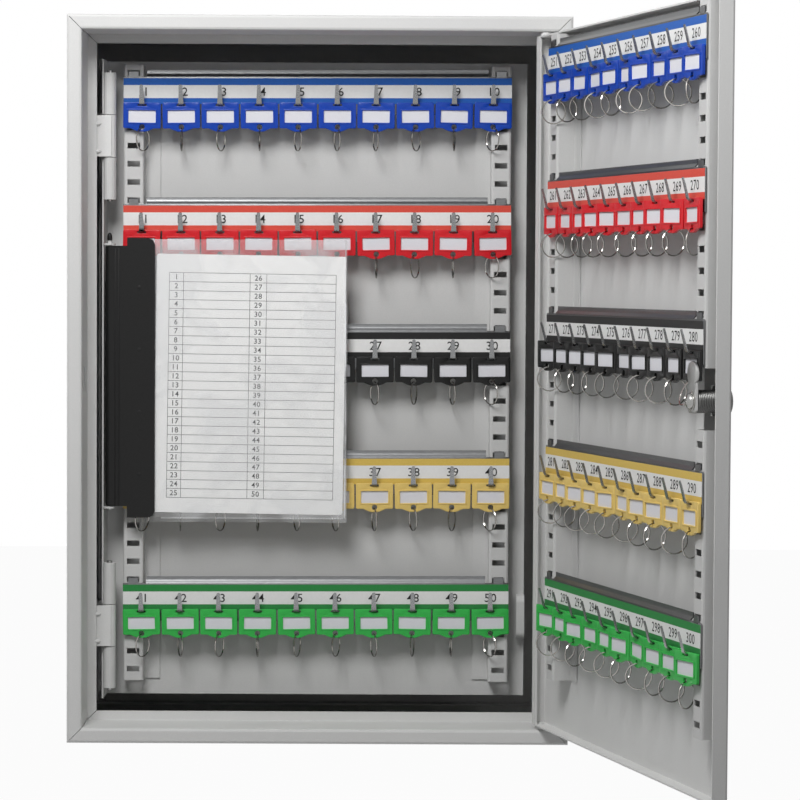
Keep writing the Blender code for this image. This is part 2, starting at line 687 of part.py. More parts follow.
def build_front_leaf(mats, meshes):
    """The front leaf: sheet, racks on both sides, finger pull and hinges."""
    top = FRONT_LEAF_CENTRE + FRONT_LEAF_HEIGHT / 2
    bottom = FRONT_LEAF_CENTRE - FRONT_LEAF_HEIGHT / 2
    plane = FRONT_Y + FRONT_LEAF_DEPTH
    axis = pivot("front_leaf_axis", FRONT_AXIS_X, FRONT_AXIS_Y)
    near, far = plane - FRONT_AXIS_Y, plane - FRONT_AXIS_Y + LEAF_SHEET
    x = LEAF_RACK_SHIFT - FRONT_AXIS_X
    z = RACK_TOP_SLOT
    extra = [("UNION", index_lugs()), ("UNION", index_pins())]
    extra.append(("UNION", rear_uprights(x, far, z)))
    sheet = leaf_mesh(FRONT_AXIS_X, FRONT_AXIS_Y, plane, FRONT_LEAF_RIGHT, top, bottom, extra)
    node("front_leaf", sheet, mats["paint"], axis, smooth=True)
    names = ("front_leaf_upright_left", "front_leaf_upright_right")
    y = near - SEAT_GAP - UPRIGHT_DEPTH
    stand_uprights(names, meshes["uprights"], mats, axis, x, y, z, 0)
    hang_bars("front_bar", meshes["tagged"], mats, axis, x, y, z, 0)
    hang_bars("behind_bar", meshes["plain"], mats, axis, x, far + UPRIGHT_DEPTH - WELD_OVERLAP, z, 180)
    pull = pull_mesh(FRONT_LEAF_RIGHT - FRONT_AXIS_X, near)
    node("front_leaf_pull", pull, mats["paint"], axis, smooth=True)
    tab_y = REBATE_DEPTH + BODY_SHEET + SEAT_GAP - FRONT_AXIS_DEPTH
    tab_x = -OPENING_HALF_WIDTH - FRAME_LIP / 2 - FRONT_AXIS_X
    build_leaf_hinges("front_leaf", mats, (FRONT_AXIS_X, FRONT_AXIS_Y), tab_x, tab_y, top, bottom)
    return axis


def rear_uprights(x, y, z):
    """The two uprights welded to the rear face of a leaf, facing backwards."""
    parts = []
    for side in (-1, 1):
        mesh = upright_mesh(side, False)
        reach = -side * UPRIGHT_SPACING / 2
        parts.append(moved(mesh, x + reach, y + UPRIGHT_DEPTH - WELD_OVERLAP, z, 180))
    return gather(parts)


def front_uprights(x, y, z):
    """The two uprights welded to the front face of a leaf, facing forwards."""
    parts = []
    for side in (-1, 1):
        reach = side * UPRIGHT_SPACING / 2
        parts.append(moved(upright_mesh(side, False), x + reach, y - UPRIGHT_DEPTH + WELD_OVERLAP, z))
    return gather(parts)


def build_rear_leaf(mats, meshes):
    """The rear leaf, which carries a rack on each side."""
    top = REAR_LEAF_CENTRE + REAR_LEAF_HEIGHT / 2
    bottom = REAR_LEAF_CENTRE - REAR_LEAF_HEIGHT / 2
    plane = FRONT_Y + REAR_LEAF_DEPTH
    axis = pivot("rear_leaf_axis", REAR_AXIS_X, REAR_AXIS_Y)
    near, far = plane - REAR_AXIS_Y, plane - REAR_AXIS_Y + LEAF_SHEET
    x = LEAF_RACK_SHIFT - REAR_AXIS_X
    z = RACK_TOP_SLOT
    extra = [("UNION", front_uprights(x, near, z)), ("UNION", rear_uprights(x, far, z))]
    sheet = leaf_mesh(REAR_AXIS_X, REAR_AXIS_Y, plane, REAR_LEAF_RIGHT, top, bottom, extra)
    node("rear_leaf", sheet, mats["paint"], axis, smooth=True)
    plain = meshes["plain"]
    hang_bars("third_bar", plain, mats, axis, x, near - UPRIGHT_DEPTH + WELD_OVERLAP, z, 0)
    hang_bars("fourth_bar", plain, mats, axis, x, far + UPRIGHT_DEPTH - WELD_OVERLAP, z, 180)
    pull = pull_mesh(REAR_LEAF_RIGHT - REAR_AXIS_X, near)
    node("rear_leaf_pull", pull, mats["paint"], axis, smooth=True)
    tab_x = BODY_SHEET + SEAT_GAP - BODY_WIDTH / 2 - REAR_AXIS_X
    tab_y = -KNUCKLE_RADIUS + WELD_OVERLAP
    build_leaf_hinges("rear_leaf", mats, (REAR_AXIS_X, REAR_AXIS_Y), tab_x, tab_y, top, bottom)


def rounded_plate(left, right, bottom, top, radius, y0, y1):
    """A plate whose right-hand corners are rounded."""
    points = [(left, bottom)]
    points += arc((right - radius, bottom + radius), radius, 270, 360, BEND_STEPS)
    points += arc((right - radius, top - radius), radius, 0, 90, BEND_STEPS)
    points.append((left, top))
    return prism(points, y0, y1, "xz")


def build_index(mats, leaf_axis):
    """The index holder: spine with its tube, clear pocket, and the card in the pocket."""
    holder = pivot("index_axis", 0, 0)
    holder.parent = leaf_axis
    bore = INDEX_PIN / 2 + SEAT_GAP
    barrel = tube((0, 0), INDEX_TUBE / 2, bore, INDEX_TUBE_BOTTOM, INDEX_TUBE_TOP, ROUND_PLAIN)
    back = -bore - SEAT_GAP / 2
    front = back - INDEX_PLATE_SHEET
    strip = box((0, INDEX_PLATE_LEFT + WELD_OVERLAP), (front, back), (INDEX_TUBE_BOTTOM, INDEX_TUBE_TOP))
    plate = rounded_plate(INDEX_PLATE_LEFT, INDEX_PLATE_RIGHT, INDEX_PLATE_BOTTOM, INDEX_PLATE_TOP,
                          INDEX_CORNER, front, back)
    spine = combine(barrel, [("UNION", strip), ("UNION", plate)])
    node("index_spine", spine, mats["black"], holder, smooth=True)

    outer_y = back + SEAT_GAP
    inner = (outer_y + POCKET_FILM, outer_y + POCKET_FILM + POCKET_GAP)
    left = INDEX_PLATE_RIGHT - 2 * INDEX_CORNER
    film = box((left, POCKET_RIGHT), (outer_y, inner[1] + POCKET_FILM), (POCKET_BOTTOM, POCKET_TOP))
    sheet_right = POCKET_RIGHT - POCKET_SEAM / 2
    sheet_left = sheet_right - SHEET_WIDTH
    card_top = POCKET_TOP - SHEET_DROP
    hollow = box((sheet_left - SHEET_SIDE_GAP, sheet_right + SHEET_SIDE_GAP), inner,
                 (card_top - SHEET_HEIGHT - SEAT_GAP, POCKET_TOP + CUT_OVERRUN))
    pocket = combine(film, [("DIFFERENCE", hollow)])
    node("index_pocket", pocket, mats["film"], holder)
    middle = (inner[0] + inner[1]) / 2
    card = box((sheet_left, sheet_right), (middle - SHEET_THICKNESS / 2, middle + SHEET_THICKNESS / 2),
               (card_top - SHEET_HEIGHT, card_top))
    node("index_card", card, mats["paper"], holder)


def build_door_pan(mats, axis):
    """The door's pan: skin, four folded edges, and a lip along the hinge side."""
    half_x, half_z, t, r = DOOR_WIDTH / 2, DOOR_HEIGHT / 2, DOOR_SHEET, DOOR_BEND
    y0, y1 = FRONT_Y, FRONT_Y + DOOR_FOLD
    small = r * (1 - math.sqrt(0.5))
    pan = ring_stack([
        (r - half_x, half_x - r, r - half_z, half_z - r, y0),
        (small - half_x, half_x - small, small - half_z, half_z - small, y0 + small),
        (-half_x, half_x, -half_z, half_z, y0 + r),
        (-half_x, half_x, -half_z, half_z, y1),
        (t - half_x, half_x - t, t - half_z, half_z - t, y1),
        (t - half_x, half_x - t, t - half_z, half_z - t, y0 + t),
    ])
    lip = box((half_x - DOOR_LIP, half_x - t / 2), (y1 - t, y1), (t - half_z - WELD_OVERLAP, half_z - t / 2))
    lock_hole = prism(circle(LOCK_BODY_DIAMETER / 2 + SEAT_GAP, (LOCK_X, 0), ROUND_FINE),
                      y0 - CUT_OVERRUN, y0 + t + CUT_OVERRUN, "xz")
    hole = circle(PIVOT_DIAMETER / 2 + SEAT_GAP, (DOOR_AXIS_X, DOOR_AXIS_Y), ROUND_PLAIN)
    ends = gather([prism(hole, half_z - t - CUT_OVERRUN, half_z + CUT_OVERRUN, "xy"),
                   prism(hole, -half_z - CUT_OVERRUN, t + CUT_OVERRUN - half_z, "xy")])
    steps = [("UNION", lip), ("DIFFERENCE", lock_hole), ("DIFFERENCE", ends)]
    return node("door_pan", moved(combine(pan, steps), -DOOR_AXIS_X, -DOOR_AXIS_Y), mats["paint"], axis,
                smooth=True)


def build_door_pivots(mats):
    """The two pivots that the door turns on, fixed in the body's rebate."""
    inner = DOOR_HEIGHT / 2 - DOOR_SHEET
    wall = BODY_HEIGHT / 2 - FRONT_BAND
    shank = circle(PIVOT_DIAMETER / 2, (0, 0), ROUND_PLAIN)
    collar = circle(PIVOT_COLLAR / 2, (0, 0), ROUND_PLAIN)
    start, end = inner - DOOR_SHEET, wall + BODY_SHEET + PIVOT_REACH / 2
    low = DOOR_HEIGHT / 2 + SEAT_GAP
    pin = combine(prism(shank, start, end, "xy"), [("UNION", prism(collar, low, wall - SEAT_GAP, "xy"))])
    upper = node("door_pivot_upper", pin, mats["steel"], smooth=True)
    upper.location = (DOOR_AXIS_X, DOOR_AXIS_Y, 0)
    flipped = pin.copy()
    flipped.transform(Matrix.Rotation(math.pi, 4, "X"))
    lower = node("door_pivot_lower", flipped, mats["steel"], smooth=True)
    lower.location = (DOOR_AXIS_X, DOOR_AXIS_Y, 0)


def lock_notches():
    """What the lock-side upright loses round the lock; a strip of its inner wall stays."""
    lock_z = -(RACK_TOP_SLOT + DOOR_RACK_RISE)
    span = (lock_z - NOTCH_BELOW, lock_z + NOTCH_ABOVE)
    reach = UPRIGHT_FACE / 2 + CUT_OVERRUN
    face = box((-reach, reach), (-CUT_OVERRUN, UPRIGHT_DEPTH - NOTCH_WEB_TOP), span)
    outer_wall = box((0, reach), (0, UPRIGHT_DEPTH + CUT_OVERRUN), span)
    nut_room = LOCK_NUT_ACROSS / math.sqrt(3) + SEAT_GAP
    nut_half = LOCK_NUT_ACROSS / 2 + SEAT_GAP
    nut = box((-LOCK_INSET - nut_room, 0),
              (UPRIGHT_DEPTH - LOCK_NUT_LENGTH - SEAT_GAP, UPRIGHT_DEPTH + CUT_OVERRUN),
              (lock_z - nut_half, lock_z + nut_half))
    return [("DIFFERENCE", cut) for cut in (face, outer_wall, nut)]


def build_lock(mats, axis):
    """The cam lock: body, nut, plug, cam and the screw that holds the cam."""
    face = FRONT_Y - DOOR_AXIS_Y
    x = LOCK_X - DOOR_AXIS_X
    tail = face + CAM_PLANE - SEAT_GAP
    plug_r = LOCK_PLUG_DIAMETER / 2
    barrel = prism(circle(LOCK_BODY_DIAMETER / 2, (x, 0), ROUND_FINE), face - LOCK_HEAD_PROUD, tail, "xz")
    head = prism(circle(LOCK_HEAD_DIAMETER / 2, (x, 0), ROUND_FINE), face - LOCK_HEAD_PROUD,
                 face - SEAT_GAP, "xz")
    bore = prism(circle(plug_r + SEAT_GAP, (x, 0), ROUND_FINE), face - LOCK_HEAD_PROUD - CUT_OVERRUN,
                 tail + CUT_OVERRUN, "xz")
    body = combine(barrel, [("UNION", head), ("DIFFERENCE", bore)])
    node("lock_body", body, mats["steel"], axis, smooth=True)

    nut_y = face + DOOR_SHEET + SEAT_GAP
    hexagon = circle(LOCK_NUT_ACROSS / math.sqrt(3), (x, 0), 6)
    nut = prism(hexagon, nut_y, nut_y + LOCK_NUT_LENGTH, "xz")
    thread = prism(circle(LOCK_BODY_DIAMETER / 2 + SEAT_GAP, (x, 0), ROUND_FINE), nut_y - CUT_OVERRUN,
                   nut_y + LOCK_NUT_LENGTH + CUT_OVERRUN, "xz")
    node("lock_nut", combine(nut, [("DIFFERENCE", thread)]), mats["steel"], axis)

    turner = bpy.data.objects.new("lock_axis", None)
    turner.location = (x, face, 0)
    turner.parent = axis
    bpy.context.scene.collection.objects.link(turner)
    front = -LOCK_HEAD_PROUD - LOCK_PLUG_PROUD
    plug = prism(circle(plug_r, (0, 0), ROUND_FINE), front, CAM_PLANE - SEAT_GAP, "xz")
    keyway = box((-KEYWAY_WIDTH / 2, KEYWAY_WIDTH / 2), (front - CUT_OVERRUN, front + KEYWAY_DEPTH),
                 (-KEYWAY_HEIGHT / 2, KEYWAY_HEIGHT / 2))
    node("lock_plug", combine(plug, [("DIFFERENCE", keyway)]), mats["steel"], turner, smooth=True)

    stem = CAM_WIDTH / 2
    head_r = CAM_HEAD_DIAMETER / 2
    centre = (0, CAM_REACH - head_r)
    tilt = math.degrees(math.asin(stem / head_r))
    outline = arc(centre, head_r, tilt - 90, 270 - tilt, ROUND_PLAIN)
    outline += [(-stem, -CAM_TAIL), (stem, -CAM_TAIL)]
    cam = prism(outline, CAM_PLANE, CAM_PLANE + CAM_SHEET, "xz")
    node("lock_cam", cam, mats["steel"], turner, smooth=True)
    seat = CAM_PLANE + CAM_SHEET + SEAT_GAP
    screw = prism(circle(CAM_SCREW_HEAD / 2, (0, 0), ROUND_PLAIN), seat, seat + CAM_SCREW_HEIGHT, "xz")
    node("lock_screw", screw, mats["steel"], turner, smooth=True)


def build_door(mats, meshes):
    """The open door with its rack and its lock."""
    axis = pivot("door_axis", DOOR_AXIS_X, DOOR_AXIS_Y, DOOR_OPEN_DEGREES)
    build_door_pan(mats, axis)
    x = DOOR_RACK_SHIFT - DOOR_AXIS_X
    y = FRONT_Y + DOOR_SHEET + SEAT_GAP + UPRIGHT_DEPTH - DOOR_AXIS_Y
    z = RACK_TOP_SLOT + DOOR_RACK_RISE
    hinge_mesh, lock_mesh = meshes["uprights"]
    lock_mesh = combine(lock_mesh.copy(), lock_notches())
    names = ("door_upright_hinge_side", "door_upright_lock_side")
    stand_uprights(names, (hinge_mesh, lock_mesh), mats, axis, x, y, z, 180)
    hang_bars("door_bar", meshes["tagged"], mats, axis, x, y, z, 180)
    build_lock(mats, axis)


def build():
    """Build the whole cabinet."""
    clear_scene()
    mats = make_materials()
    meshes = {
        "uprights": (upright_mesh(-1, True), upright_mesh(1, True)),
        "tagged": bar_mesh(True),
        "plain": bar_mesh(False),
    }
    rack_y = build_body(mats)
    hang_bars("wall_bar", meshes["plain"], mats, None, LEAF_RACK_SHIFT, rack_y, RACK_TOP_SLOT, 0)
    leaf_axis = build_front_leaf(mats, meshes)
    build_rear_leaf(mats, meshes)
    build_index(mats, leaf_axis)
    build_door_pivots(mats)
    build_door(mats, meshes)


build()
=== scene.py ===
# %% [markdown]
# # A wall key cabinet, dressed for rendering
#
# The cabinet comes in as a fixed frame: sheet-steel body, open door, two swinging leaves, and
# thirty bars of key hooks. This lesson gives it its finishes, and rebuilds in finer detail
# the small things that make it look real: hook rails, printed labels, key tags, split rings,
# the index pocket and the lock.

import json
import math
import random

import bmesh
import bpy
from mathutils import Matrix, Vector


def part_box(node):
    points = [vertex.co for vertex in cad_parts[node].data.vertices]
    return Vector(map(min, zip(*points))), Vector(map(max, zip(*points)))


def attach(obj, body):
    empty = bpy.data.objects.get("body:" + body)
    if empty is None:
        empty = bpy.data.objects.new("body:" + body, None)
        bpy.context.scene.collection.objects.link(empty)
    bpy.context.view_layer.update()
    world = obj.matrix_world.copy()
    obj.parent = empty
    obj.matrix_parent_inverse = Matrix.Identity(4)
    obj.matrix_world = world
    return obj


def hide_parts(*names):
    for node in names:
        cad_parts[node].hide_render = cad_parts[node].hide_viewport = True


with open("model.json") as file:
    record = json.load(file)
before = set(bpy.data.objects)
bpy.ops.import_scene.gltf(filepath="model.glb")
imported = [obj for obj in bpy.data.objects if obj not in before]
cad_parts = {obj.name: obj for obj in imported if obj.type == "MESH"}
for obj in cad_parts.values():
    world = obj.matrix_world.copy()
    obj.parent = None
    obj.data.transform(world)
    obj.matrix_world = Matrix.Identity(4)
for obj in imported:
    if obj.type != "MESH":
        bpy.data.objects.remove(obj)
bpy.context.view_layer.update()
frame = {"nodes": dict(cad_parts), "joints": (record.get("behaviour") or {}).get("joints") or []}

# %% [markdown]
# ## Units, colour and nodes
#
# Blender works in metres, and this cabinet is described in millimetres, so one constant turns
# one into the other. Colours are picked as sRGB hex values, the way a paint chart gives them,
# but shaders want linear light, so one function converts them. A second small function adds
# any shader node with its settings and links, which keeps each material short enough to read.

# %% Units, colour and nodes
MM = 0.001


def linear(code):
    """An sRGB hex value such as D8D8D6 as linear RGBA."""
    channels = [int(code[i:i + 2], 16) / 255 for i in (0, 2, 4)]
    light = [c / 12.92 if c <= 0.04045 else ((c + 0.055) / 1.055) ** 2.4 for c in channels]
    return (*light, 1.0)


def add_node(tree, kind, links=None, **settings):
    """Add a node; settings are its properties or input values, links are its input sockets."""
    made = tree.nodes.new(kind)
    for key, value in settings.items():
        if hasattr(made, key):
            setattr(made, key, value)
        else:
            made.inputs[key.replace("_", " ")].default_value = value
    for key, socket in (links or {}).items():
        tree.links.new(socket, made.inputs[key])
    return made


def start_material(name):
    """An empty material: its node tree and its Principled shader."""
    mat = bpy.data.materials.new(name)
    mat.use_nodes = True
    return mat, mat.node_tree, mat.node_tree.nodes["Principled BSDF"]


# %% [markdown]
# ## Powder-coated sheet steel
#
# The body, the door and the leaves are folded from steel sheet and powder coated: dry paint is
# sprayed on, then baked until it flows. It never flows quite flat. Up close it has an
# orange-peel skin with grains of about 0.9 mm, which breaks reflections into a soft sheen.
# A noise texture at that scale drives the bump and a little of the roughness. A second noise,
# as broad as a hand, stands for the slight clouding of a large painted sheet.

# %% Powder coat
PEEL_GRAIN = 0.9 * MM
PEEL_DEPTH = 0.06 * MM
CLOUD_SIZE = 120 * MM
PAINT_SPECULAR = 0.25


def powder_coat(name, light_tone, dark_tone, roughness):
    """Baked powder paint: peel bump, broken sheen, and broad, faint clouding."""
    mat, tree, shader = start_material(name)
    shader.inputs["Specular IOR Level"].default_value = PAINT_SPECULAR
    place = add_node(tree, "ShaderNodeTexCoord")
    peel = add_node(tree, "ShaderNodeTexNoise", {"Vector": place.outputs["Object"]},
                    Scale=1 / PEEL_GRAIN, Detail=2.0, Roughness=0.6)
    cloud = add_node(tree, "ShaderNodeTexNoise", {"Vector": place.outputs["Object"]},
                     Scale=1 / CLOUD_SIZE, Detail=3.0, Roughness=0.5)
    blend = add_node(tree, "ShaderNodeMath", {0: peel.outputs["Fac"], 1: cloud.outputs["Fac"]},
                     operation="MULTIPLY")
    tone = add_node(tree, "ShaderNodeMix", {"Factor": blend.outputs[0]}, data_type="RGBA")
    tone.inputs["A"].default_value = linear(dark_tone)
    tone.inputs["B"].default_value = linear(light_tone)
    sheen = add_node(tree, "ShaderNodeMapRange", {"Value": peel.outputs["Fac"]})
    sheen.inputs["To Min"].default_value = roughness - 0.08
    sheen.inputs["To Max"].default_value = roughness + 0.10
    bump = add_node(tree, "ShaderNodeBump", {"Height": peel.outputs["Fac"]},
                    Strength=0.35, Distance=PEEL_DEPTH)
    tree.links.new(tone.outputs["Result"], shader.inputs["Base Color"])
    tree.links.new(sheen.outputs["Result"], shader.inputs["Roughness"])
    tree.links.new(bump.outputs["Normal"], shader.inputs["Normal"])
    return mat


body_paint = powder_coat("powder_coated_steel", "E6E6E5", "D4D4D3", 0.46)
leaf_paint = powder_coat("powder_coated_leaf", "DADAD9", "C6C6C5", 0.50)

# %% [markdown]
# ## Bare metals
#
# The hook rails are zinc-plated strip: a dull blue-grey with streaks along the rolling
# direction. Their hooks are pressed out of it and rub brighter. The split rings are
# nickel-plated spring wire, which mirrors the room. The lock's barrel and cam are zinc
# castings, lightly tumbled; the barrel gets darker tones than the cam, as painted shade
# for the shadow it sits in. Its nut, its screw and the leaves' pins are bright steel.
# All are full metals, so their colour is their reflection, and what tells them apart is
# roughness and the texture that breaks it. Real rolling grain is finer than a pixel here, so
# it is drawn 0.35 mm wide to show at all.

# %% Metals
STREAK_WIDTH = 0.35 * MM


def plated_metal(name, bright, dull, roughness, streak, bump_depth):
    """A plated metal with streaks along X: stretch the noise and it becomes a rolling grain."""
    mat, tree, shader = start_material(name)
    place = add_node(tree, "ShaderNodeTexCoord")
    stretch = add_node(tree, "ShaderNodeMapping", {"Vector": place.outputs["Object"]})
    stretch.inputs["Scale"].default_value = (1 / streak, 1, 1)
    grain = add_node(tree, "ShaderNodeTexNoise", {"Vector": stretch.outputs["Vector"]},
                     Scale=1 / STREAK_WIDTH, Detail=3.0)
    tone = add_node(tree, "ShaderNodeMix", {"Factor": grain.outputs["Fac"]}, data_type="RGBA")
    tone.inputs["A"].default_value = linear(dull)
    tone.inputs["B"].default_value = linear(bright)
    gloss = add_node(tree, "ShaderNodeMapRange", {"Value": grain.outputs["Fac"]})
    gloss.inputs["To Min"].default_value = roughness * 0.8
    gloss.inputs["To Max"].default_value = roughness * 1.25
    bump = add_node(tree, "ShaderNodeBump", {"Height": grain.outputs["Fac"]},
                    Strength=0.3, Distance=bump_depth)
    shader.inputs["Metallic"].default_value = 1.0
    tree.links.new(tone.outputs["Result"], shader.inputs["Base Color"])
    tree.links.new(gloss.outputs["Result"], shader.inputs["Roughness"])
    tree.links.new(bump.outputs["Normal"], shader.inputs["Normal"])
    return mat


rail_zinc = plated_metal("zinc_plated_rail", "7E7F80", "5C5D5E", 0.34, 12.0, 0.02 * MM)
hook_zinc = plated_metal("zinc_plated_hook", "9FA0A1", "6C6D6E", 0.26, 1.0, 0.02 * MM)
ring_nickel = plated_metal("nickel_plated_wire", "A9A7A3", "85837F", 0.12, 1.0, 0.01 * MM)
# The barrel's tones are painted shade: the cam's zinc, darkened for the shadow it sits in inside
# the door.
shaded_barrel_zinc = plated_metal("cast_zinc_barrel_painted_shade", "6A6A69", "454544", 0.42, 1.0, 0.03 * MM)
cam_zinc = plated_metal("cast_zinc", "B4B4B3", "8A8A89", 0.34, 1.0, 0.03 * MM)
pin_steel = plated_metal("bright_steel_pin", "B0B0AE", "7A7A78", 0.22, 1.0, 0.01 * MM)

# %% [markdown]
# ## Plastics, print and paper
#
# The tags are injection-moulded polystyrene, coloured right through and glossy, with a fine
# spark-eroded texture from the mould. The label strips are printed vinyl. The index spine is
# black PVC, and its pocket is clear film, which shows itself only by its creases and gloss.
# One function serves all the opaque ones: two tones, a roughness, and a fine texture of the
# right size. A glossy moulding or a coated paper has a thin clear coat as well.

# %% Plastics, print and paper
PLASTIC_SPECULAR = 0.2
COAT_ROUGHNESS = 0.12


def moulded(name, colour, shade, roughness, grain_mm, depth_mm, coat=0.0):
    """A plastic, ink or paper: two close tones, a fine texture and, if asked, a coat."""
    mat, tree, shader = start_material(name)
    place = add_node(tree, "ShaderNodeTexCoord")
    grain = add_node(tree, "ShaderNodeTexNoise", {"Vector": place.outputs["Object"]},
                     Scale=1 / (grain_mm * MM), Detail=2.0)
    tone = add_node(tree, "ShaderNodeMix", {"Factor": grain.outputs["Fac"]}, data_type="RGBA")
    tone.inputs["A"].default_value = linear(shade)
    tone.inputs["B"].default_value = linear(colour)
    bump = add_node(tree, "ShaderNodeBump", {"Height": grain.outputs["Fac"]},
                    Strength=0.3, Distance=depth_mm * MM)
    shader.inputs["Roughness"].default_value = roughness
    shader.inputs["Specular IOR Level"].default_value = PLASTIC_SPECULAR
    shader.inputs["Coat Weight"].default_value = coat
    shader.inputs["Coat Roughness"].default_value = COAT_ROUGHNESS
    tree.links.new(tone.outputs["Result"], shader.inputs["Base Color"])
    tree.links.new(bump.outputs["Normal"], shader.inputs["Normal"])
    return mat


STRIPE_TONES = {
    "blue": ("2463BC", "1F58A8"), "red": ("E0584A", "D04C3E"), "black": ("242424", "1A1A1A"),
    "yellow": ("E2C468", "D4B458"), "green": ("348E4A", "2C7E40"),
}
TAG_TONES = {
    "blue": ("0D44B4", "0A3A9C"), "red": ("DE222C", "C51C26"), "black": ("0F0F0F", "090909"),
    "yellow": ("EDD07E", "DFBF6A"), "green": ("3CC055", "32AC49"),
}
ROW_COLOURS = ("blue", "red", "black", "yellow", "green")
stripe_vinyl = {colour: moulded(f"{colour}_label_vinyl", *STRIPE_TONES[colour], 0.42, 1.5, 0.01)
                for colour in ROW_COLOURS}
tag_plastic = {colour: moulded(f"{colour}_polystyrene", *TAG_TONES[colour], 0.32, 0.6, 0.02, 0.12)
               for colour in ROW_COLOURS}
label_white = moulded("white_label_vinyl", "EFEFEE", "E6E6E5", 0.45, 2.0, 0.01)
print_ink = moulded("black_print", "323232", "262626", 0.6, 1.0, 0.0)
insert_paper = moulded("tag_insert_paper", "E6E6EB", "DADAE0", 0.55, 0.5, 0.01, 0.2)
card_paper = moulded("index_card_paper", "FFFFFE", "F7F7F6", 0.75, 0.4, 0.01)
spine_pvc = moulded("black_pvc", "1C1C1C", "121212", 0.40, 1.2, 0.03)

# %% [markdown]
# ## Clear film
#
# Clear film is the odd one out. Full glass would cost render time and gain nothing at 0.3 mm,
# so the film is mostly see-through, with a low alpha, and stays visible by its gloss and by a
# broad crease pattern in its bump and haze, about 45 mm from crease to crease.

# %% Clear film
CREASE = 45 * MM
CREASE_DEPTH = 0.8 * MM
FILM_ROUGHNESS = 0.12


def clear_film(name, alpha):
    """Thin soft film: almost clear, glossy and gently creased."""
    mat, tree, shader = start_material(name)
    place = add_node(tree, "ShaderNodeTexCoord")
    crease = add_node(tree, "ShaderNodeTexNoise", {"Vector": place.outputs["Object"]},
                      Scale=1 / CREASE, Detail=1.5, Distortion=0.8)
    haze = add_node(tree, "ShaderNodeMapRange", {"Value": crease.outputs["Fac"]})
    haze.inputs["From Min"].default_value = 0.46
    haze.inputs["From Max"].default_value = 0.60
    haze.inputs["To Min"].default_value = alpha * 0.6
    haze.inputs["To Max"].default_value = alpha * 1.8
    bump = add_node(tree, "ShaderNodeBump", {"Height": crease.outputs["Fac"]},
                    Strength=0.5, Distance=CREASE_DEPTH)
    shader.inputs["Base Color"].default_value = linear("F4F5F7")
    shader.inputs["Roughness"].default_value = FILM_ROUGHNESS
    tree.links.new(haze.outputs["Result"], shader.inputs["Alpha"])
    tree.links.new(bump.outputs["Normal"], shader.inputs["Normal"])
    return mat


pocket_film = clear_film("clear_pvc_film", 0.10)
# The weld seams use the same film at a high alpha, so their near-white colour is a painted
# highlight for the gloss of the welds.
seam_film_painted_highlight = clear_film("welded_film_seam_painted_highlight", 0.75)

# %% [markdown]
# ## Dress the steel that comes with the frame
#
# The shapes of the folded steel are already right, so those pieces only change their coat.
# Each node's own slots are overwritten, and nothing is moved.

# %% Coat the carried-over pieces
COATS = {
    "body_shell": body_paint, "back_panel": body_paint, "door_pan": body_paint,
    "door_upright_hinge_side": leaf_paint, "door_upright_lock_side": leaf_paint,
    "front_leaf": leaf_paint, "front_leaf_upright_left": leaf_paint,
    "front_leaf_upright_right": leaf_paint,
    "rear_leaf": leaf_paint, "rear_leaf_pull": leaf_paint,
    "index_spine": spine_pvc, "index_pocket": pocket_film,
    "lock_nut": pin_steel, "lock_plug": cam_zinc,
    "door_pivot_upper": body_paint, "door_pivot_lower": body_paint,
}
for leaf in ("front_leaf", "rear_leaf"):
    for place in ("upper", "lower"):
        COATS[f"{leaf}_knuckle_{place}"] = body_paint
        COATS[f"{leaf}_pin_{place}"] = pin_steel

for name, coat in COATS.items():
    piece = frame["nodes"][name]
    for slot in piece.material_slots:
        slot.material = coat
print("coated", len(COATS), "pieces")

# %% [markdown]
# ## A small kit for shaping
#
# Nearly everything else is stamped, bent or moulded, so a few helpers make most of it: a flat
# outline pulled to a thickness (with holes if need be), a skin over a run of cross-sections,
# which serves for bent strip and for wire, a block, and a gatherer that copies finished
# shapes to their places in one mesh. The last one puts a piece in the scene on its body.

# %% Shaping kit


def to_mesh(bm, smooth_angle=35):
    """Close a bmesh into a mesh with soft shading between its sharp edges."""
    bmesh.ops.recalc_face_normals(bm, faces=bm.faces)
    mesh = bpy.data.meshes.new("shape")
    bm.to_mesh(mesh)
    bm.free()
    mesh.shade_smooth()
    mesh.set_sharp_from_angle(angle=math.radians(smooth_angle))
    return mesh


def plate(outline, holes, back, front, edge):
    """A flat plate in X and Z with holes, from y = back to y = front, its edges broken."""
    bm = bmesh.new()
    rims = []
    for loop in [outline] + holes:
        verts = [bm.verts.new((x, front, z)) for x, z in loop]
        rims += [bm.edges.new((verts[i - 1], verts[i])) for i in range(len(verts))]
    bmesh.ops.triangle_fill(bm, use_beauty=True, edges=rims)
    grown = bmesh.ops.extrude_face_region(bm, geom=bm.faces[:])
    for item in grown["geom"]:
        if isinstance(item, bmesh.types.BMVert):
            item.co.y = back
    bmesh.ops.recalc_face_normals(bm, faces=bm.faces)
    if edge:
        sharp = [e for e in bm.edges if len(e.link_faces) == 2 and e.calc_face_angle() > 1.0
                 and all(abs(v.co.y - front) < 1e-7 for v in e.verts)]
        bmesh.ops.bevel(bm, geom=sharp, offset=edge, segments=2, profile=0.5, affect="EDGES")
    return to_mesh(bm)


def section_sweep(sections):
    """Skin a run of cross-sections, each a list of points, and cap both ends."""
    bm = bmesh.new()
    rows = [[bm.verts.new(p) for p in section] for section in sections]
    for near, far in zip(rows, rows[1:]):
        for i in range(len(near)):
            bm.faces.new((near[i - 1], near[i], far[i], far[i - 1]))
    bm.faces.new(rows[0])
    bm.faces.new(rows[-1])
    return to_mesh(bm)


def slab(x, y, z, edge=0.0):
    """A block from (low, high) pairs, with its edges broken if edge is given."""
    bm = bmesh.new()
    bmesh.ops.create_cube(bm, size=1.0)
    for v in bm.verts:
        v.co = Vector([pair[0] if c < 0 else pair[1] for c, pair in zip(v.co, (x, y, z))])
    if edge:
        bmesh.ops.bevel(bm, geom=bm.edges[:], offset=edge, segments=2, profile=0.5, affect="EDGES")
    return to_mesh(bm)


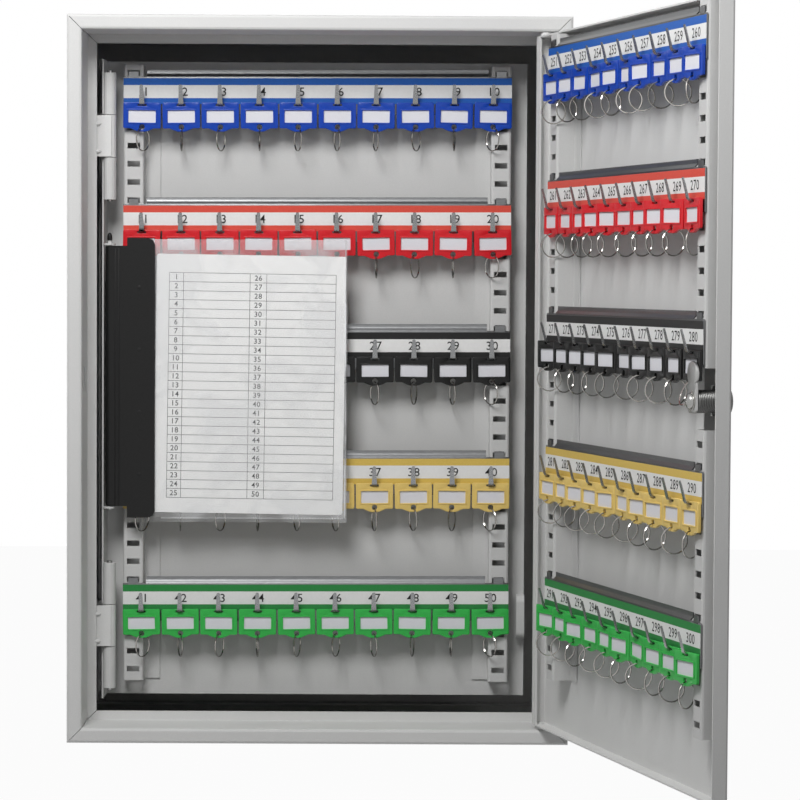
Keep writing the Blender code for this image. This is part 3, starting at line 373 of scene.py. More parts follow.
def bow(centre, radius, start, end, steps):
    """Points along an arc, angles in degrees."""
    angles = [math.radians(start + (end - start) * i / steps) for i in range(steps + 1)]
    return [(centre[0] + radius * math.cos(a), centre[1] + radius * math.sin(a)) for a in angles]


def gather(name, stamps, materials):
    """One mesh from copies of others; stamps are (mesh, matrix, material number)."""
    bm = bmesh.new()
    for source, matrix, number in stamps:
        copy = source.copy()
        copy.transform(matrix)
        copy.polygons.foreach_set("material_index", [number] * len(copy.polygons))
        bm.from_mesh(copy)
        bpy.data.meshes.remove(copy)
    mesh = bpy.data.meshes.new(name)
    bm.to_mesh(mesh)
    bm.free()
    for mat in materials:
        mesh.materials.append(mat)
    return mesh


def set_piece(name, mesh, matrix, body, replaces=None):
    """Put a finished mesh in the scene, riding on its body."""
    obj = bpy.data.objects.new(name, mesh)
    obj.matrix_world = matrix
    bpy.context.scene.collection.objects.link(obj)
    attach(obj, body)
    if replaces:
        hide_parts(replaces)
    return obj


HERE = Matrix.Identity(4)

# %% [markdown]
# ## The hook rail
#
# A rail is one strip of zinc-plated steel. A press lances ten hooks out of it, and rolls its
# upper edge back and up into a shoulder that keeps it straight. Two tabs at its ends hook into
# the slots of the uprights. Heights are measured from the middle of those slots, and y = 0 is
# the face of the uprights.

# %% The rail and its hooks
RAIL_LENGTH = 299.6 * MM
RAIL_BACK = -0.3 * MM
RAIL_FACE = -1.3 * MM
RAIL_TOP = -3.0 * MM
RAIL_BOTTOM = -32.4 * MM
SHOULDER_HALF = 131.8 * MM
TAB_REACH = 141.9 * MM
HOOK_PITCH = 30.08 * MM
HOOK_ROOT = -24.4 * MM
HOOK_THICKNESS = 1.0 * MM
HOOKS = [(i - 4.5) * HOOK_PITCH for i in range(10)]


def rail_section():
    """The shoulder in section: out of the flat strip, back at a slant, then straight up."""
    t = RAIL_BACK - RAIL_FACE
    y, z = RAIL_FACE, RAIL_TOP
    front = [(y, z - 1 * MM), (y, z - 0.3 * MM), (y + 0.3 * MM, z + 0.3 * MM),
             (y + 1.9 * MM, z + 1.9 * MM), (y + 2.2 * MM, z + 2.5 * MM),
             (y + 2.2 * MM, z + 5.2 * MM)]
    rear = [(a + t, b - 0.1 * MM) for a, b in front]
    return front + rear[::-1]


def lanced_hook():
    """A hook: out from the strip, round its bend, then up and outwards, its edges broken.

    Each step of the run is how far out, how high, and half how wide, in millimetres.
    """
    run = [(0.4, -24.9, 2.2), (-2.0, -24.9, 2.2), (-3.8, -24.7, 2.15), (-5.0, -24.0, 2.1),
           (-5.8, -22.8, 2.0), (-6.9, -18.5, 1.75), (-8.2, -13.6, 1.5), (-9.1, -10.6, 1.35),
           (-9.3, -9.7, 0.9)]
    sections = []
    for i, (y, z, half) in enumerate(run):
        before, after = run[max(i - 1, 0)], run[min(i + 1, len(run) - 1)]
        along = Vector((after[0] - before[0], after[1] - before[1])).normalized()
        side = Vector((-along.y, along.x)) * (HOOK_THICKNESS / 2)
        centre = Vector((RAIL_FACE + y * MM, z * MM))
        inner, outer, brow = centre + side, centre - side, centre - side * 0.3
        flat = half * 0.55
        rim = ((-half, inner), (half, inner), (half, brow), (flat, outer), (-flat, outer),
               (-half, brow))
        sections.append([(x * MM, at.x, at.y) for x, at in rim])
    return section_sweep(sections)


def slot_tab():
    """The tab at a rail's end: up, back through the slot, and down behind the upright."""
    up = [(RAIL_FACE, RAIL_TOP - 1 * MM), (RAIL_FACE, 0.9 * MM), (RAIL_FACE + 0.5 * MM, 1.4 * MM),
          (2.1 * MM, 1.4 * MM), (2.3 * MM, 1.2 * MM), (2.3 * MM, -3.4 * MM), (1.4 * MM, -3.4 * MM),
          (1.4 * MM, 0.3 * MM), (RAIL_BACK, 0.3 * MM), (RAIL_BACK, RAIL_TOP - 1 * MM)]
    return section_sweep([[(x, y, z) for y, z in up] for x in (-3.8 * MM, 3.8 * MM)])


def hook_rail():
    """The whole rail with its ten hooks and two tabs."""
    half = RAIL_LENGTH / 2
    strip = slab((-half, half), (RAIL_FACE, RAIL_BACK), (RAIL_BOTTOM, RAIL_TOP), 0.2 * MM)
    shoulder = section_sweep([[(x, y, z) for y, z in rail_section()]
                              for x in (-SHOULDER_HALF, SHOULDER_HALF)])
    stamps = [(strip, HERE, 0), (shoulder, HERE, 0)]
    stamps += [(slot_tab(), Matrix.Translation((side * TAB_REACH, 0, 0)), 0) for side in (-1, 1)]
    hook = lanced_hook()
    stamps += [(hook, Matrix.Translation((x, 0, 0)), 1) for x in HOOKS]
    return gather("hook_rail", stamps, [rail_zinc, hook_zinc])


rail_mesh = hook_rail()
print("rail:", len(rail_mesh.polygons), "faces")

# %% [markdown]
# ## Printed labels
#
# Each rail carries a printed strip 20 mm high: a coloured stripe, a white band with the hook
# numbers, and a second stripe. The figures are cut once as ten small flat meshes and then
# stamped, which is far lighter than a text object for each of 300 numbers. On the real strip
# the numbers are set flush right, so the last figure is always the same 3 mm right of its hook.

# %% Printed labels
LABEL_TOP = -4.2 * MM
STRIPE_UPPER = 5.3 * MM
STRIPE_LOWER = 4.6 * MM
WHITE = 10.0 * MM
LABEL_FACE = RAIL_FACE - 0.15 * MM
FIGURE_HEIGHT = 6.4 * MM
FIGURE_STEP = 0.78
FIGURE_SWELL = 0.006
LAST_FIGURE = 2.9 * MM


def cut_figures():
    """The ten figures as flat meshes facing -Y, each standing on z = 0."""
    figures = []
    for digit in range(10):
        curve = bpy.data.curves.new(f"figure_{digit}", "FONT")
        curve.body = str(digit)
        curve.align_x = "CENTER"
        curve.size = 1.0
        curve.resolution_u = 3
        curve.offset = FIGURE_SWELL
        text = bpy.data.objects.new(f"figure_{digit}", curve)
        bpy.context.scene.collection.objects.link(text)
        bpy.context.view_layer.update()
        mesh = bpy.data.meshes.new_from_object(text)
        bpy.data.objects.remove(text)
        height = max(v.co.y for v in mesh.vertices)
        mesh.transform(Matrix.Rotation(math.radians(90), 4, "X") @ Matrix.Scale(1 / height, 4))
        figures.append(mesh)
    return figures


FIGURES = cut_figures()


def number_stamps(number, x, y, z, height, ink):
    """Stamps for a number whose middle is at x and whose foot is at z."""
    text = str(number)
    stamps = []
    for i, letter in enumerate(text):
        shift = (i - (len(text) - 1) / 2) * FIGURE_STEP * height
        spot = Matrix.Translation((x + shift, y, z)) @ Matrix.Scale(height, 4)
        stamps.append((FIGURES[int(letter)], spot, ink))
    return stamps


def label_mesh(name, colour, first):
    """A label strip with ten numbers from first on."""
    half = RAIL_LENGTH / 2
    front, back = LABEL_FACE, RAIL_FACE - 0.02 * MM
    top, white_top = LABEL_TOP, LABEL_TOP - STRIPE_UPPER
    white_foot = white_top - WHITE
    bands = [(white_top, top, 0), (white_foot, white_top, 1),
             (white_foot - STRIPE_LOWER, white_foot, 0)]
    stamps = [(slab((-half, half), (front, back), (low, high)), HERE, number)
              for low, high, number in bands]
    foot = white_foot + (WHITE - FIGURE_HEIGHT) / 2
    for i, x in enumerate(HOOKS):
        middle = x + LAST_FIGURE - (len(str(first + i)) - 1) / 2 * FIGURE_STEP * FIGURE_HEIGHT
        stamps += number_stamps(first + i, middle, front - 0.04 * MM, foot, FIGURE_HEIGHT, 2)
    return gather(name, stamps, [stripe_vinyl[colour], label_white, print_ink])


# %% [markdown]
# ## Key tags
#
# A tag is a moulded plate with a window for a paper insert, a slot near its top that goes over
# the hook, and a lug below with a hole for the ring. The edges of a moulding are never sharp,
# and it is the thin highlight along a rounded edge that tells the eye it is plastic, so the
# plate's front edges are bevelled by a quarter of a millimetre.

# %% Key tags
TAG_HALF = 14.45 * MM
TAG_TOP = 1.0 * MM
TAG_BOTTOM = -18.9 * MM
TAG_DEPTH = 2.0 * MM
FRAME = 1.1 * MM
RING_HOLE = -17.9 * MM
TAG_ROLL = 1.2


def tag_outline():
    """The tag's rim: rounded corners, and the lug that bulges below."""
    r, half, top, low = 1.2 * MM, TAG_HALF, TAG_TOP, TAG_BOTTOM
    rim = bow((half - r, top - r), r, 0, 90, 3) + bow((r - half, top - r), r, 90, 180, 3)
    rim += bow((r - half, low + r), r, 180, 270, 3)
    rim += [(-9.0 * MM, low), (-4.6 * MM, low - 1.9 * MM), (-2.6 * MM, low - 2.5 * MM)]
    rim += [(2.6 * MM, low - 2.5 * MM), (4.6 * MM, low - 1.9 * MM), (9.0 * MM, low)]
    rim += bow((half - r, low + r), r, 270, 360, 3)
    return rim


def rounded(left, right, low, high, r):
    """A rectangle with rounded corners."""
    points = bow((right - r, high - r), r, 0, 90, 2) + bow((left + r, high - r), r, 90, 180, 2)
    points += bow((left + r, low + r), r, 180, 270, 2) + bow((right - r, low + r), r, 270, 360, 2)
    return points


def key_tag():
    """The parts of a tag, its hook slot at z = 0: plate, window rim and paper insert."""
    window = (-10.5 * MM, 10.5 * MM, -14.5 * MM, -5.1 * MM)
    hook_slot = rounded(-3.5 * MM, 3.5 * MM, -1.6 * MM, -0.1 * MM, 0.4 * MM)
    ring_hole = bow((0, RING_HOLE), 2.1 * MM, 0, 337.5, 15)
    holes = [rounded(*window, 0.5 * MM), hook_slot, ring_hole]
    body = plate(tag_outline(), holes, 0, -TAG_DEPTH, 0.25 * MM)
    wide = rounded(window[0] - FRAME, window[1] + FRAME, window[2] - FRAME, window[3] + FRAME,
                   1 * MM)
    rim = plate(wide, [holes[0]], -TAG_DEPTH + 0.1 * MM, -TAG_DEPTH - 0.4 * MM, 0.15 * MM)
    paper = slab((window[0], window[1]), (-1.3 * MM, -0.5 * MM), (window[2], window[3]))
    return body, rim, paper


TAG_PARTS = key_tag()
print("tag:", sum(len(part.polygons) for part in TAG_PARTS), "faces")


def tag_places(rng, yaw_limit, lean):
    """Where ten tags hang: turned and tilted a little, and far enough out to clear the strip."""
    places = []
    for x in HOOKS:
        yaw = math.radians(rng.uniform(-yaw_limit, yaw_limit) + lean)
        roll = math.radians(rng.uniform(-TAG_ROLL, TAG_ROLL))
        out = 0.5 * MM + TAG_HALF * abs(math.sin(yaw))
        spot = Matrix.Translation((x, RAIL_FACE - out, HOOK_ROOT + 0.4 * MM))
        places.append(spot @ Matrix.Rotation(yaw, 4, "Z") @ Matrix.Rotation(roll, 4, "Y"))
    return places


def tags_mesh(name, colour, places):
    """Ten tags in one mesh."""
    body, rim, paper = TAG_PARTS
    stamps = []
    for spot in places:
        stamps += [(body, spot, 0), (rim, spot, 0), (paper, spot, 1)]
    return gather(name, stamps, [tag_plastic[colour], insert_paper])


# %% [markdown]
# ## Split rings
#
# The ring under each tag is spring wire wound almost two turns. A wire swept along a short
# helix gives the double edge that a plain torus can't. A ring hangs square to its tag, because
# it runs through the tag from front to back, so from the front it is a narrow ellipse and on
# the open door it is a full circle. Each one leans back a little with its own weight. The end
# ones turn by a third of a right angle to clear the uprights, and the one beside the lock is
# laid flat and back from the barrel.

# %% Split rings
RING_RADIUS = 8.85 * MM
WIRE = 0.45 * MM
END_TURN = 32
LOCK_RING_LEAN = -24


def split_ring():
    """Wire along a helix of almost two turns, its top at the origin, in the YZ plane."""
    turns, steps, sides = 1.9, 46, 6
    sections = []
    for i in range(steps + 1):
        a = math.radians(90 + 360 * turns * i / steps)
        shift = (i / steps - 0.5) * 1.7 * WIRE
        outward = Vector((0, math.cos(a), math.sin(a)))
        centre = outward * RING_RADIUS + Vector((shift, 0, 0))
        loop = []
        for k in range(sides):
            b = 2 * math.pi * k / sides
            across = Vector((WIRE * 0.8 * math.sin(b), 0, 0))
            loop.append(centre + outward * (WIRE * math.cos(b)) + across)
        sections.append(loop)
    mesh = section_sweep(sections)
    mesh.transform(Matrix.Translation((0, 0, -RING_RADIUS)))
    mesh.shade_smooth()
    return mesh


RING = split_ring()


def rings_mesh(name, places, rng, by_lock=None):
    """Ten rings in one mesh, each through its tag's lug; by_lock is the one beside the lock."""
    stamps = []
    for i, spot in enumerate(places):
        yaw = rng.uniform(-22, 22)
        tilt = rng.uniform(3, 9)
        if i in (0, 9):
            yaw = math.copysign(END_TURN, i - 4.5) + rng.uniform(-4, 4)
        hole = spot @ Vector((0, -TAG_DEPTH / 2, RING_HOLE - 0.6 * MM))
        turn = Matrix.Rotation(math.radians(yaw), 4, "Z")
        if i == by_lock:
            lean = Matrix.Rotation(math.radians(LOCK_RING_LEAN), 4, "X")
            turn = lean @ Matrix.Rotation(math.radians(90), 4, "Z")
            tilt = 0
        hang = turn @ Matrix.Rotation(math.radians(tilt), 4, "X")
        stamps.append((RING, Matrix.Translation(hole) @ hang, 0))
    return gather(name, stamps, [ring_nickel])


# %% [markdown]
# ## Fill the racks
#
# Six racks hold fifty keys each: the front leaf's two sides, the rear leaf's two sides, the
# back wall and the door. A rack is placed by the middle of its top slots and by the way it
# faces. Numbers run on from rack to rack, so the front leaf starts at 1 and the door at 251.
# Tags on the leaves hang almost flat, and those on the door are swung a few degrees more. The
# front leaf's rails sit a trace out of level in their slots, as real ones do.

# %% Fill the racks
ROW_PITCH = 98.0 * MM
FRONT = -205.0  # millimetres from the wall to the front edge
RACK_X = -3.1
RACK_Z = 235.4
joints = {joint["name"]: joint for joint in frame["joints"]}
DOOR_OPEN = math.radians(-joints["door_hinge"]["range_deg"][0])
door_turn = Matrix.Translation(joints["door_hinge"]["pos_m"]) @ Matrix.Rotation(DOOR_OPEN, 4, "Z")
FRONT_TILT = 0.3


def facing(x, y, z, turn):
    """A rack's place in millimetres, turned about Z by degrees."""
    place = Matrix.Translation((x * MM, y * MM, z * MM))
    return place @ Matrix.Rotation(math.radians(turn), 4, "Z")


def raised(degrees):
    """A small tilt that lifts a rail's right end, turned about the tab at its left end."""
    tab = Matrix.Translation((-TAB_REACH, 0, 0))
    return tab @ Matrix.Rotation(math.radians(-degrees), 4, "Y") @ tab.inverted()


# First number, body, place, most that a tag turns, how far all tags lean, tilt of the rails.
RACKS = {
    "front_bar": (1, "front_leaf", facing(RACK_X, FRONT + 61.9, RACK_Z, 0), 5, 0, FRONT_TILT),
    "behind_bar": (51, "front_leaf", facing(RACK_X, FRONT + 92.7, RACK_Z, 180), 5, 0, 0),
    "third_bar": (101, "rear_leaf", facing(RACK_X, FRONT + 127.5, RACK_Z, 0), 5, 0, 0),
    "fourth_bar": (151, "rear_leaf", facing(RACK_X, FRONT + 157.7, RACK_Z, 180), 5, 0, 0),
    "wall_bar": (201, "cabinet", facing(RACK_X, -15.7, RACK_Z, 0), 5, 0, 0),
    "door_bar": (251, "door", door_turn @ facing(-188.9, 10.3, 252.1, 180), 6, 4, 0),
}


def dress_rack(prefix, first, body, place, yaw_limit, lean, tilt, seed):
    """Hang five rails with their labels, tags and rings on one rack."""
    for row, colour in enumerate(ROW_COLOURS):
        rng = random.Random(seed * 10 + row)
        name = f"{prefix}_{colour}"
        here = place @ Matrix.Translation((0, 0, -row * ROW_PITCH)) @ raised(tilt)
        set_piece(f"{name}_rail", rail_mesh, here, body, name)
        label = label_mesh(f"{name}_label", colour, first + 10 * row)
        set_piece(f"{name}_label", label, here, body)
        spots = tag_places(rng, yaw_limit, lean)
        by_lock = 9 if name == "door_bar_black" else None
        if by_lock:
            spots[9] = Matrix.Translation((HOOKS[9], RAIL_FACE - 0.5 * MM, HOOK_ROOT + 0.4 * MM))
        tags = tags_mesh(f"{name}_tags", colour, spots)
        set_piece(f"{name}_tags", tags, here, body)
        rings = rings_mesh(f"{name}_rings", spots, rng, by_lock)
        set_piece(f"{name}_rings", rings, here, body)


for number, (prefix, rack) in enumerate(RACKS.items()):
    dress_rack(prefix, *rack, number)
for prefix in RACKS:
    low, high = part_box(f"{prefix}_blue")
    print(prefix, "rail box", [round(c * 1000, 1) for c in (*low, *high)])

# %% [markdown]
# ## The index card
#
# The card is an A5 sheet with a ruled table for fifty names, its numbers in two columns. The
# lines are thin raised strips of ink, a third of a millimetre wide, because that is what
# still shows at this distance. The sheet is cut a little short, and it isn't quite straight in
# its pocket: card and print are made square and then turned together, less than a degree.

# %% The index card
CARD_ROWS = 25
ROW_STEP = 6.94 * MM
RULE = 0.34 * MM
RULE_DEPTH = 0.03 * MM
CARD_FIGURE = 4.0 * MM
CARD_LEAN = 0.7
CARD_TRIM = 2.3 * MM
card_low, card_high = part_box("index_card")
card_middle = (card_low + card_high) / 2
card_turn = (Matrix.Translation(card_middle) @ Matrix.Rotation(math.radians(CARD_LEAN), 4, "Y")
             @ Matrix.Translation(-card_middle))


def card_sheet():
    """The card itself: an A5 sheet, trimmed to slip in, with slightly rounded corners."""
    foot, head = card_low.z + CARD_TRIM, card_high.z - CARD_TRIM
    rim = rounded(card_low.x, card_high.x, foot, head, 1.5 * MM)
    mesh = plate(rim, [], card_high.y, card_low.y, 0)
    mesh.materials.append(card_paper)
    return mesh


def card_print():
    """The table's rules and numbers, just in front of the card."""
    y = card_low.y - 0.05 * MM
    left = card_low.x + 9.8 * MM
    top = card_high.z - 16.6 * MM
    columns = [left + shift * MM for shift in (0, 10.9, 62.1, 74.9, 128.3)]
    right = columns[-1]
    bottom = top - CARD_ROWS * ROW_STEP
    stamps = []
    for k in range(CARD_ROWS + 1):
        z = top - k * ROW_STEP
        line = slab((left, right), (y, y + RULE_DEPTH), (z - RULE / 2, z + RULE / 2))
        stamps.append((line, HERE, 0))
    for x in columns:
        line = slab((x - RULE / 2, x + RULE / 2), (y, y + RULE_DEPTH), (bottom, top))
        stamps.append((line, HERE, 0))
    for k in range(CARD_ROWS):
        foot = top - (k + 1) * ROW_STEP + 1.7 * MM
        for first, pair in ((1, columns[0:2]), (1 + CARD_ROWS, columns[2:4])):
            stamps += number_stamps(k + first, sum(pair) / 2, y - 0.01 * MM, foot, CARD_FIGURE, 0)
    return gather("index_table", stamps, [print_ink])


set_piece("index_sheet", card_sheet(), card_turn, "card", "index_card")
set_piece("index_table", card_print(), card_turn, "card")

# %% [markdown]
# ## The index spine and pocket
#
# The spine is moulded with two ribs down its narrow part, and the film is welded to its back
# in a row of dots. The pocket's bottom is closed by a crimped weld, a line of small teeth,
# and its free side by a plain one. Both welds are drawn in nearly opaque white film, a painted
# highlight for their gloss. A black nub stands on the upper pivot.

# %% Spine ribs, pocket seams and nub
spine_low, spine_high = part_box("index_spine")
film_low, film_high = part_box("index_pocket")
depths = (film_low.y, film_high.y, card_low.y, card_high.y)
print("film and card", [round(c * 1000, 1) for c in depths])
print("spine", [round(c * 1000, 1) for c in (*spine_low, *spine_high)])


def spine_detail():
    """Two upright ribs and a column of four faint weld dots on the spine's face."""
    face = spine_low.y
    hub = spine_low.x + 3.2 * MM
    stamps = []
    for shift in (4.6, 7.4):
        x = hub + shift * MM
        rib = slab((x - 0.5 * MM, x + 0.5 * MM), (face - 0.5 * MM, face + 0.4 * MM),
                   (spine_low.z + 10 * MM, spine_high.z - 8 * MM), 0.2 * MM)
        stamps.append((rib, HERE, 0))
    for k in range(4):
        z = spine_high.z - (38 + 48 * k) * MM
        ring = bow((hub + 23 * MM, z), 1.6 * MM, 0, 330, 11)
        stamps.append((plate(ring, [], face + 0.1 * MM, face - 0.15 * MM, 0.08 * MM), HERE, 0))
    return gather("spine_detail", stamps, [spine_pvc])


TOOTH_STEP = 1.2 * MM


def pocket_seams():
    """The crimped bottom weld, and the plain weld down the pocket's free side."""
    low, high = film_low, film_high
    stamps = []
    start, stop = low.x + 15 * MM, high.x - 3 * MM
    teeth = round((stop - start) / TOOTH_STEP)
    for k in range(teeth):
        x = start + k * TOOTH_STEP
        tooth = slab((x, x + 0.6 * TOOTH_STEP), (low.y - 0.25 * MM, high.y + 0.1 * MM),
                     (low.z + 2.6 * MM, low.z + 3.7 * MM), 0.15 * MM)
        stamps.append((tooth, HERE, 0))
    side = slab((high.x - 1.6 * MM, high.x - 0.9 * MM), (low.y - 0.12 * MM, high.y + 0.1 * MM),
                (low.z + 3 * MM, high.z - 0.5 * MM), 0.1 * MM)
    stamps.append((side, HERE, 0))
    # The seams' near-opaque white film is a painted highlight for the welds' gloss.
    return gather("pocket_seams", stamps, [seam_film_painted_highlight])


def turned(profile, count, name, mat, matrix, bored=False):
    """A turned piece: (radius, height) pairs in millimetres spun about Z, bored if asked."""
    bm = bmesh.new()
    angles = [2 * math.pi * k / count for k in range(count)]
    rows = []
    for r, h in [(r * MM, h * MM) for r, h in profile]:
        rows.append([bm.verts.new((r * math.cos(a), r * math.sin(a), h)) for a in angles])
    following = rows[1:] + rows[:1] if bored else rows[1:]
    for near, far in zip(rows, following):
        for i in range(count):
            bm.faces.new((near[i - 1], near[i], far[i], far[i - 1]))
    if not bored:
        bm.faces.new(rows[0])
        bm.faces.new(rows[-1])
    mesh = to_mesh(bm)
    mesh.transform(matrix)
    mesh.materials.append(mat)
    mesh.name = name
    return mesh


set_piece("index_spine_detail", spine_detail(), HERE, "index")
set_piece("index_pocket_seams", pocket_seams(), HERE, "index")
leaf_axis = Vector(joints["front_leaf_swing"]["pos_m"])
NUB_FOOT = 106.2 * MM
nub = [(1.7, 0), (1.9, 0.5), (1.9, 3.6), (1.4, 5.0), (0.5, 5.8)]
nub_place = Matrix.Translation((leaf_axis.x, leaf_axis.y, NUB_FOOT))
nub_mesh = turned(nub, 16, "index_nub", spine_pvc, nub_place)
set_piece("index_nub", nub_mesh, HERE, "front_leaf")

# %% [markdown]
# ## The lock
#
# A cam lock is a threaded barrel held by a nut, with a flat cam screwed to its tail. Seen from
# inside the door, the thread and the bevels catch the light, so the barrel is turned with real
# grooves and the cam gets broken edges. A domed screw and a spring washer hold the cam.

# %% The lock
lock_place = Matrix.Translation(joints["lock_turn"]["pos_m"]) @ Matrix.Rotation(DOOR_OPEN, 4, "Z")
ALONG_LOCK = Matrix.Rotation(math.radians(-90), 4, "X")
THREAD_PITCH = 1.2
CAM_EDGE = 0.25 * MM


def threaded_barrel():
    """The barrel: head outside the door, then a thread of 1.2 mm pitch to its tail."""
    profile = [(5.7, -2.5), (9.2, -2.5), (9.8, -2.0), (10.0, -1.2), (10.0, -0.3), (7.5, -0.3)]
    for k in range(1, 16):
        profile += [(7.15, 0.6 + THREAD_PITCH * k), (7.6, 1.2 + THREAD_PITCH * k)]
    profile += [(7.2, 20.0), (6.8, 20.3), (5.7, 20.3)]
    return turned(profile, 40, "threaded_barrel", shaded_barrel_zinc, ALONG_LOCK, True)


def cam_plate():
    """The cam: a rounded head on a straight stem."""
    head = bow((0, 18.0 * MM), 8.0 * MM, -54, 234, 20)
    stem = [(-6.5 * MM, 12.5 * MM), (-6.5 * MM, -5.5 * MM), (-4.5 * MM, -7.5 * MM),
            (4.5 * MM, -7.5 * MM), (6.5 * MM, -5.5 * MM), (6.5 * MM, 12.5 * MM)]
    return plate(head + stem, [], 22.6 * MM, 20.6 * MM, 0.0)


def broken(mesh, edge, mat, name):
    """Break the sharp edges of a plate so that they catch the light."""
    bm = bmesh.new()
    bm.from_mesh(mesh)
    sharp = [e for e in bm.edges if len(e.link_faces) == 2 and e.calc_face_angle() > 0.9]
    bmesh.ops.bevel(bm, geom=sharp, offset=edge, segments=2, profile=0.5, affect="EDGES")
    made = to_mesh(bm)
    made.materials.append(mat)
    made.name = name
    return made


def screw_head():
    """A low domed screw head."""
    dome = [(5.0, 23.1), (5.0, 24.0), (4.8, 24.6), (4.2, 25.4), (3.2, 26.1), (1.8, 26.5),
            (0.6, 26.65)]
    return turned(dome, 36, "screw_head", pin_steel, ALONG_LOCK)


def washer():
    """The spring washer under the screw head."""
    rim = [(5.8, 22.65), (6.0, 22.8), (6.0, 23.0), (5.7, 23.3), (4.0, 23.35), (4.0, 22.65)]
    return turned(rim, 36, "washer", ring_nickel, ALONG_LOCK, True)


set_piece("lock_barrel_threaded", threaded_barrel(), lock_place, "door", "lock_body")
cam = broken(cam_plate(), CAM_EDGE, cam_zinc, "cam_plate")
set_piece("lock_cam_plate", cam, lock_place, "lock", "lock_cam")
set_piece("lock_screw_head", screw_head(), lock_place, "lock", "lock_screw")
set_piece("lock_washer", washer(), lock_place, "lock")

# %% [markdown]
# ## Weld beads
#
# The fixed knuckles are tack welded to the body's lip, and the tacks show as small pale beads
# at their upper and lower corners. A bead is a flattened ball of metal under the paint.

# %% Weld beads
BEAD_SIZE = (3.2 * MM, 1.6 * MM, 1.6 * MM)


def bead(place, size):
    """One weld bead, lumpy because its scale differs along each axis."""
    bm = bmesh.new()
    bmesh.ops.create_uvsphere(bm, u_segments=16, v_segments=10, radius=1.0)
    for v in bm.verts:
        wave = 1 + 0.12 * math.sin(7 * v.co.x + 3 * v.co.z) * math.cos(5 * v.co.y)
        v.co = Vector((v.co.x * size[0], v.co.y * size[1], v.co.z * size[2])) * wave
    mesh = to_mesh(bm, 80)
    mesh.transform(Matrix.Translation(place))
    return mesh


beads = []
for place in ("upper", "lower"):
    low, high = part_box(f"front_leaf_knuckle_{place}")
    for z in (low.z + 4 * MM, high.z - 7 * MM):
        spot = Vector((low.x + 3.4 * MM, low.y - 0.2 * MM, z))
        beads.append((bead(spot, BEAD_SIZE), HERE, 0))
bead_mesh = gather("hinge_weld_beads", beads, [body_paint])
set_piece("hinge_weld_beads", bead_mesh, HERE, "cabinet")

# %% [markdown]
# ## The finger pull
#
# The front leaf is swung by a small strap welded to its lower right edge. It is one strip of
# steel bent round to a C, and bent steel has round corners, so the strip is swept along a path
# of two quarter bends. A bend drawn with three faces would show its facets on the open leaf.

# %% The finger pull
PULL_SHEET = 1.4 * MM
PULL_BEND = 6.0 * MM
PULL_EDGE = 0.35 * MM


def finger_pull():
    """A strip swept round a C in the YZ plane, its ends on the leaf."""
    low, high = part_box("front_leaf_pull")
    top_bend = (low.y + PULL_BEND, high.z - PULL_BEND)
    foot_bend = (low.y + PULL_BEND, low.z + PULL_BEND)
    outer = [(high.y, high.z)] + bow(top_bend, PULL_BEND, 90, 180, 8)
    outer += bow(foot_bend, PULL_BEND, 180, 270, 8) + [(high.y, low.z)]
    inner = [(high.y, high.z - PULL_SHEET)] + bow(top_bend, PULL_BEND - PULL_SHEET, 90, 180, 8)
    inner += bow(foot_bend, PULL_BEND - PULL_SHEET, 180, 270, 8) + [(high.y, low.z + PULL_SHEET)]
    loop = outer + inner[::-1]
    across = (low.x, low.x + PULL_EDGE, high.x - PULL_EDGE, high.x)
    sections = [[(x, y, z) for y, z in loop] for x in across]
    print("pull", [round(c * 1000, 1) for c in (*low, *high)])
    mesh = section_sweep(sections)
    mesh.materials.append(leaf_paint)
    return mesh


set_piece("finger_pull", finger_pull(), HERE, "front_leaf", "front_leaf_pull")

# %% [markdown]
# ## Floor, light and camera
#
# The light is plain and soft: one softbox above and to the left, close to the cabinet, a faint
# small panel at the right that lifts the edge of the door, and an even, weak room light. That
# is why the photograph falls off to the right and downwards. Its background is clean white, so
# the floor and the world look white to the camera and in reflections, while the light that
# reaches the cabinet stays gentle. Two panels behind the cabinet are for the views of its back
# and sides. The camera stands 2.16 m in front with a long lens, as far off as the photograph's
# slight convergence says.

# %% Floor
FLOOR_Z = -900 * MM
FLOOR_GLOW = 0.96


def white_rays(tree):
    """1 for the rays that should see the white background: camera, glossy and transmission."""
    rays = add_node(tree, "ShaderNodeLightPath")
    seen = rays.outputs["Is Camera Ray"]
    for kind in ("Is Glossy Ray", "Is Transmission Ray"):
        either = add_node(tree, "ShaderNodeMath", {0: seen, 1: rays.outputs[kind]},
                          operation="MAXIMUM")
        seen = either.outputs[0]
    return seen


def white_floor():
    """A wide pale floor that fades to the background's white."""
    mat, tree, shader = start_material("studio_floor")
    shader.inputs["Base Color"].default_value = linear("F4F4F4")
    shader.inputs["Roughness"].default_value = 0.9
    glow = add_node(tree, "ShaderNodeEmission", Color=linear("FFFFFF"), Strength=1.0)
    share = add_node(tree, "ShaderNodeMath", {0: white_rays(tree)}, operation="MULTIPLY")
    share.inputs[1].default_value = FLOOR_GLOW
    both = add_node(tree, "ShaderNodeMixShader",
                    {0: share.outputs[0], 1: shader.outputs[0], 2: glow.outputs[0]})
    tree.links.new(both.outputs[0], tree.nodes["Material Output"].inputs["Surface"])
    return mat


floor_mesh = slab((-6, 6), (-4, 8), (FLOOR_Z - 10 * MM, FLOOR_Z))
floor_mesh.materials.append(white_floor())
floor = bpy.data.objects.new("studio_floor", floor_mesh)
bpy.context.scene.collection.objects.link(floor)

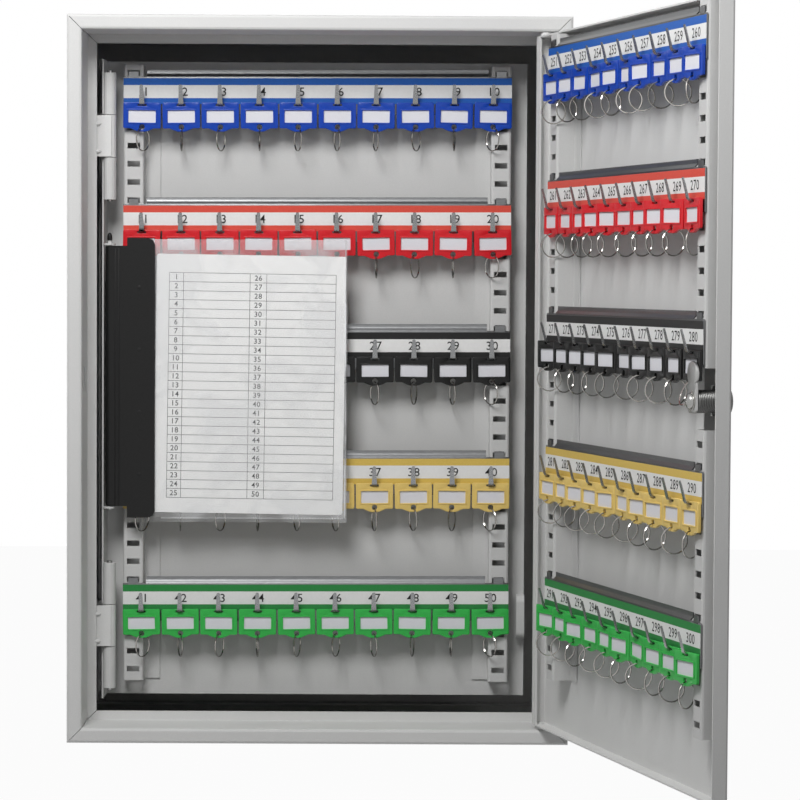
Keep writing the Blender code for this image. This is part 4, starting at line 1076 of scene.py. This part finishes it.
# %% Light
ROOM_LIGHT = 0.12
world = bpy.data.worlds.new("soft_room")
bpy.context.scene.world = world
world.use_nodes = True
sky = world.node_tree
sky.nodes.clear()
room = add_node(sky, "ShaderNodeBackground", Color=linear("FFFFFF"), Strength=ROOM_LIGHT)
backdrop = add_node(sky, "ShaderNodeBackground", Color=linear("FFFFFF"), Strength=1.0)
choose = add_node(sky, "ShaderNodeMixShader",
                  {0: white_rays(sky), 1: room.outputs[0], 2: backdrop.outputs[0]})
add_node(sky, "ShaderNodeOutputWorld", {"Surface": choose.outputs[0]})


def panel(name, place, target, size, watts):
    """A square soft light aimed at a point; place, target and size are in metres."""
    lamp = bpy.data.lights.new(name, "AREA")
    lamp.shape = "SQUARE"
    lamp.size = size
    lamp.energy = watts
    obj = bpy.data.objects.new(name, lamp)
    obj.location = place
    obj.rotation_euler = (Vector(target) - Vector(place)).to_track_quat("-Z", "Y").to_euler()
    bpy.context.scene.collection.objects.link(obj)


panel("key_softbox", (-0.24, -0.97, 0.76), (0, -0.1, 0), 0.4, 9.8)
panel("right_fill", (0.33, -0.8, 0.3), (0.27, -0.5, 0.2), 0.25, 0.2)
panel("back_right_fill", (1.5, 1.4, 0.9), (0, -0.1, 0), 0.8, 14)
panel("back_left_fill", (-1.5, 1.2, 0), (0, -0.1, 0), 0.8, 10)

# %% Camera
SENSOR = 36.0
PICTURE = 800
FOCAL = 2873.5  # in pixels of the picture
DISTANCE = 2164.7
YAW, PITCH, ROLL = math.radians(-0.265), math.radians(-2.445), math.radians(-0.309)
lens = bpy.data.cameras.new("photo_camera")
lens.sensor_width = SENSOR
lens.lens = FOCAL / PICTURE * SENSOR
lens.clip_start = 0.05
camera = bpy.data.objects.new("photo_camera", lens)
look = Matrix.Rotation(YAW, 4, "Z") @ Matrix.Rotation(PITCH, 4, "X") @ Matrix.Rotation(ROLL, 4, "Y")
stand = Matrix.Rotation(math.radians(90), 4, "X")
place = Matrix.Translation((51.36 * MM, (FRONT - DISTANCE) * MM, 78.9 * MM))
camera.matrix_world = place @ look @ stand
bpy.context.scene.collection.objects.link(camera)
bpy.context.scene.camera = camera
bpy.context.scene.view_settings.view_transform = "Standard"
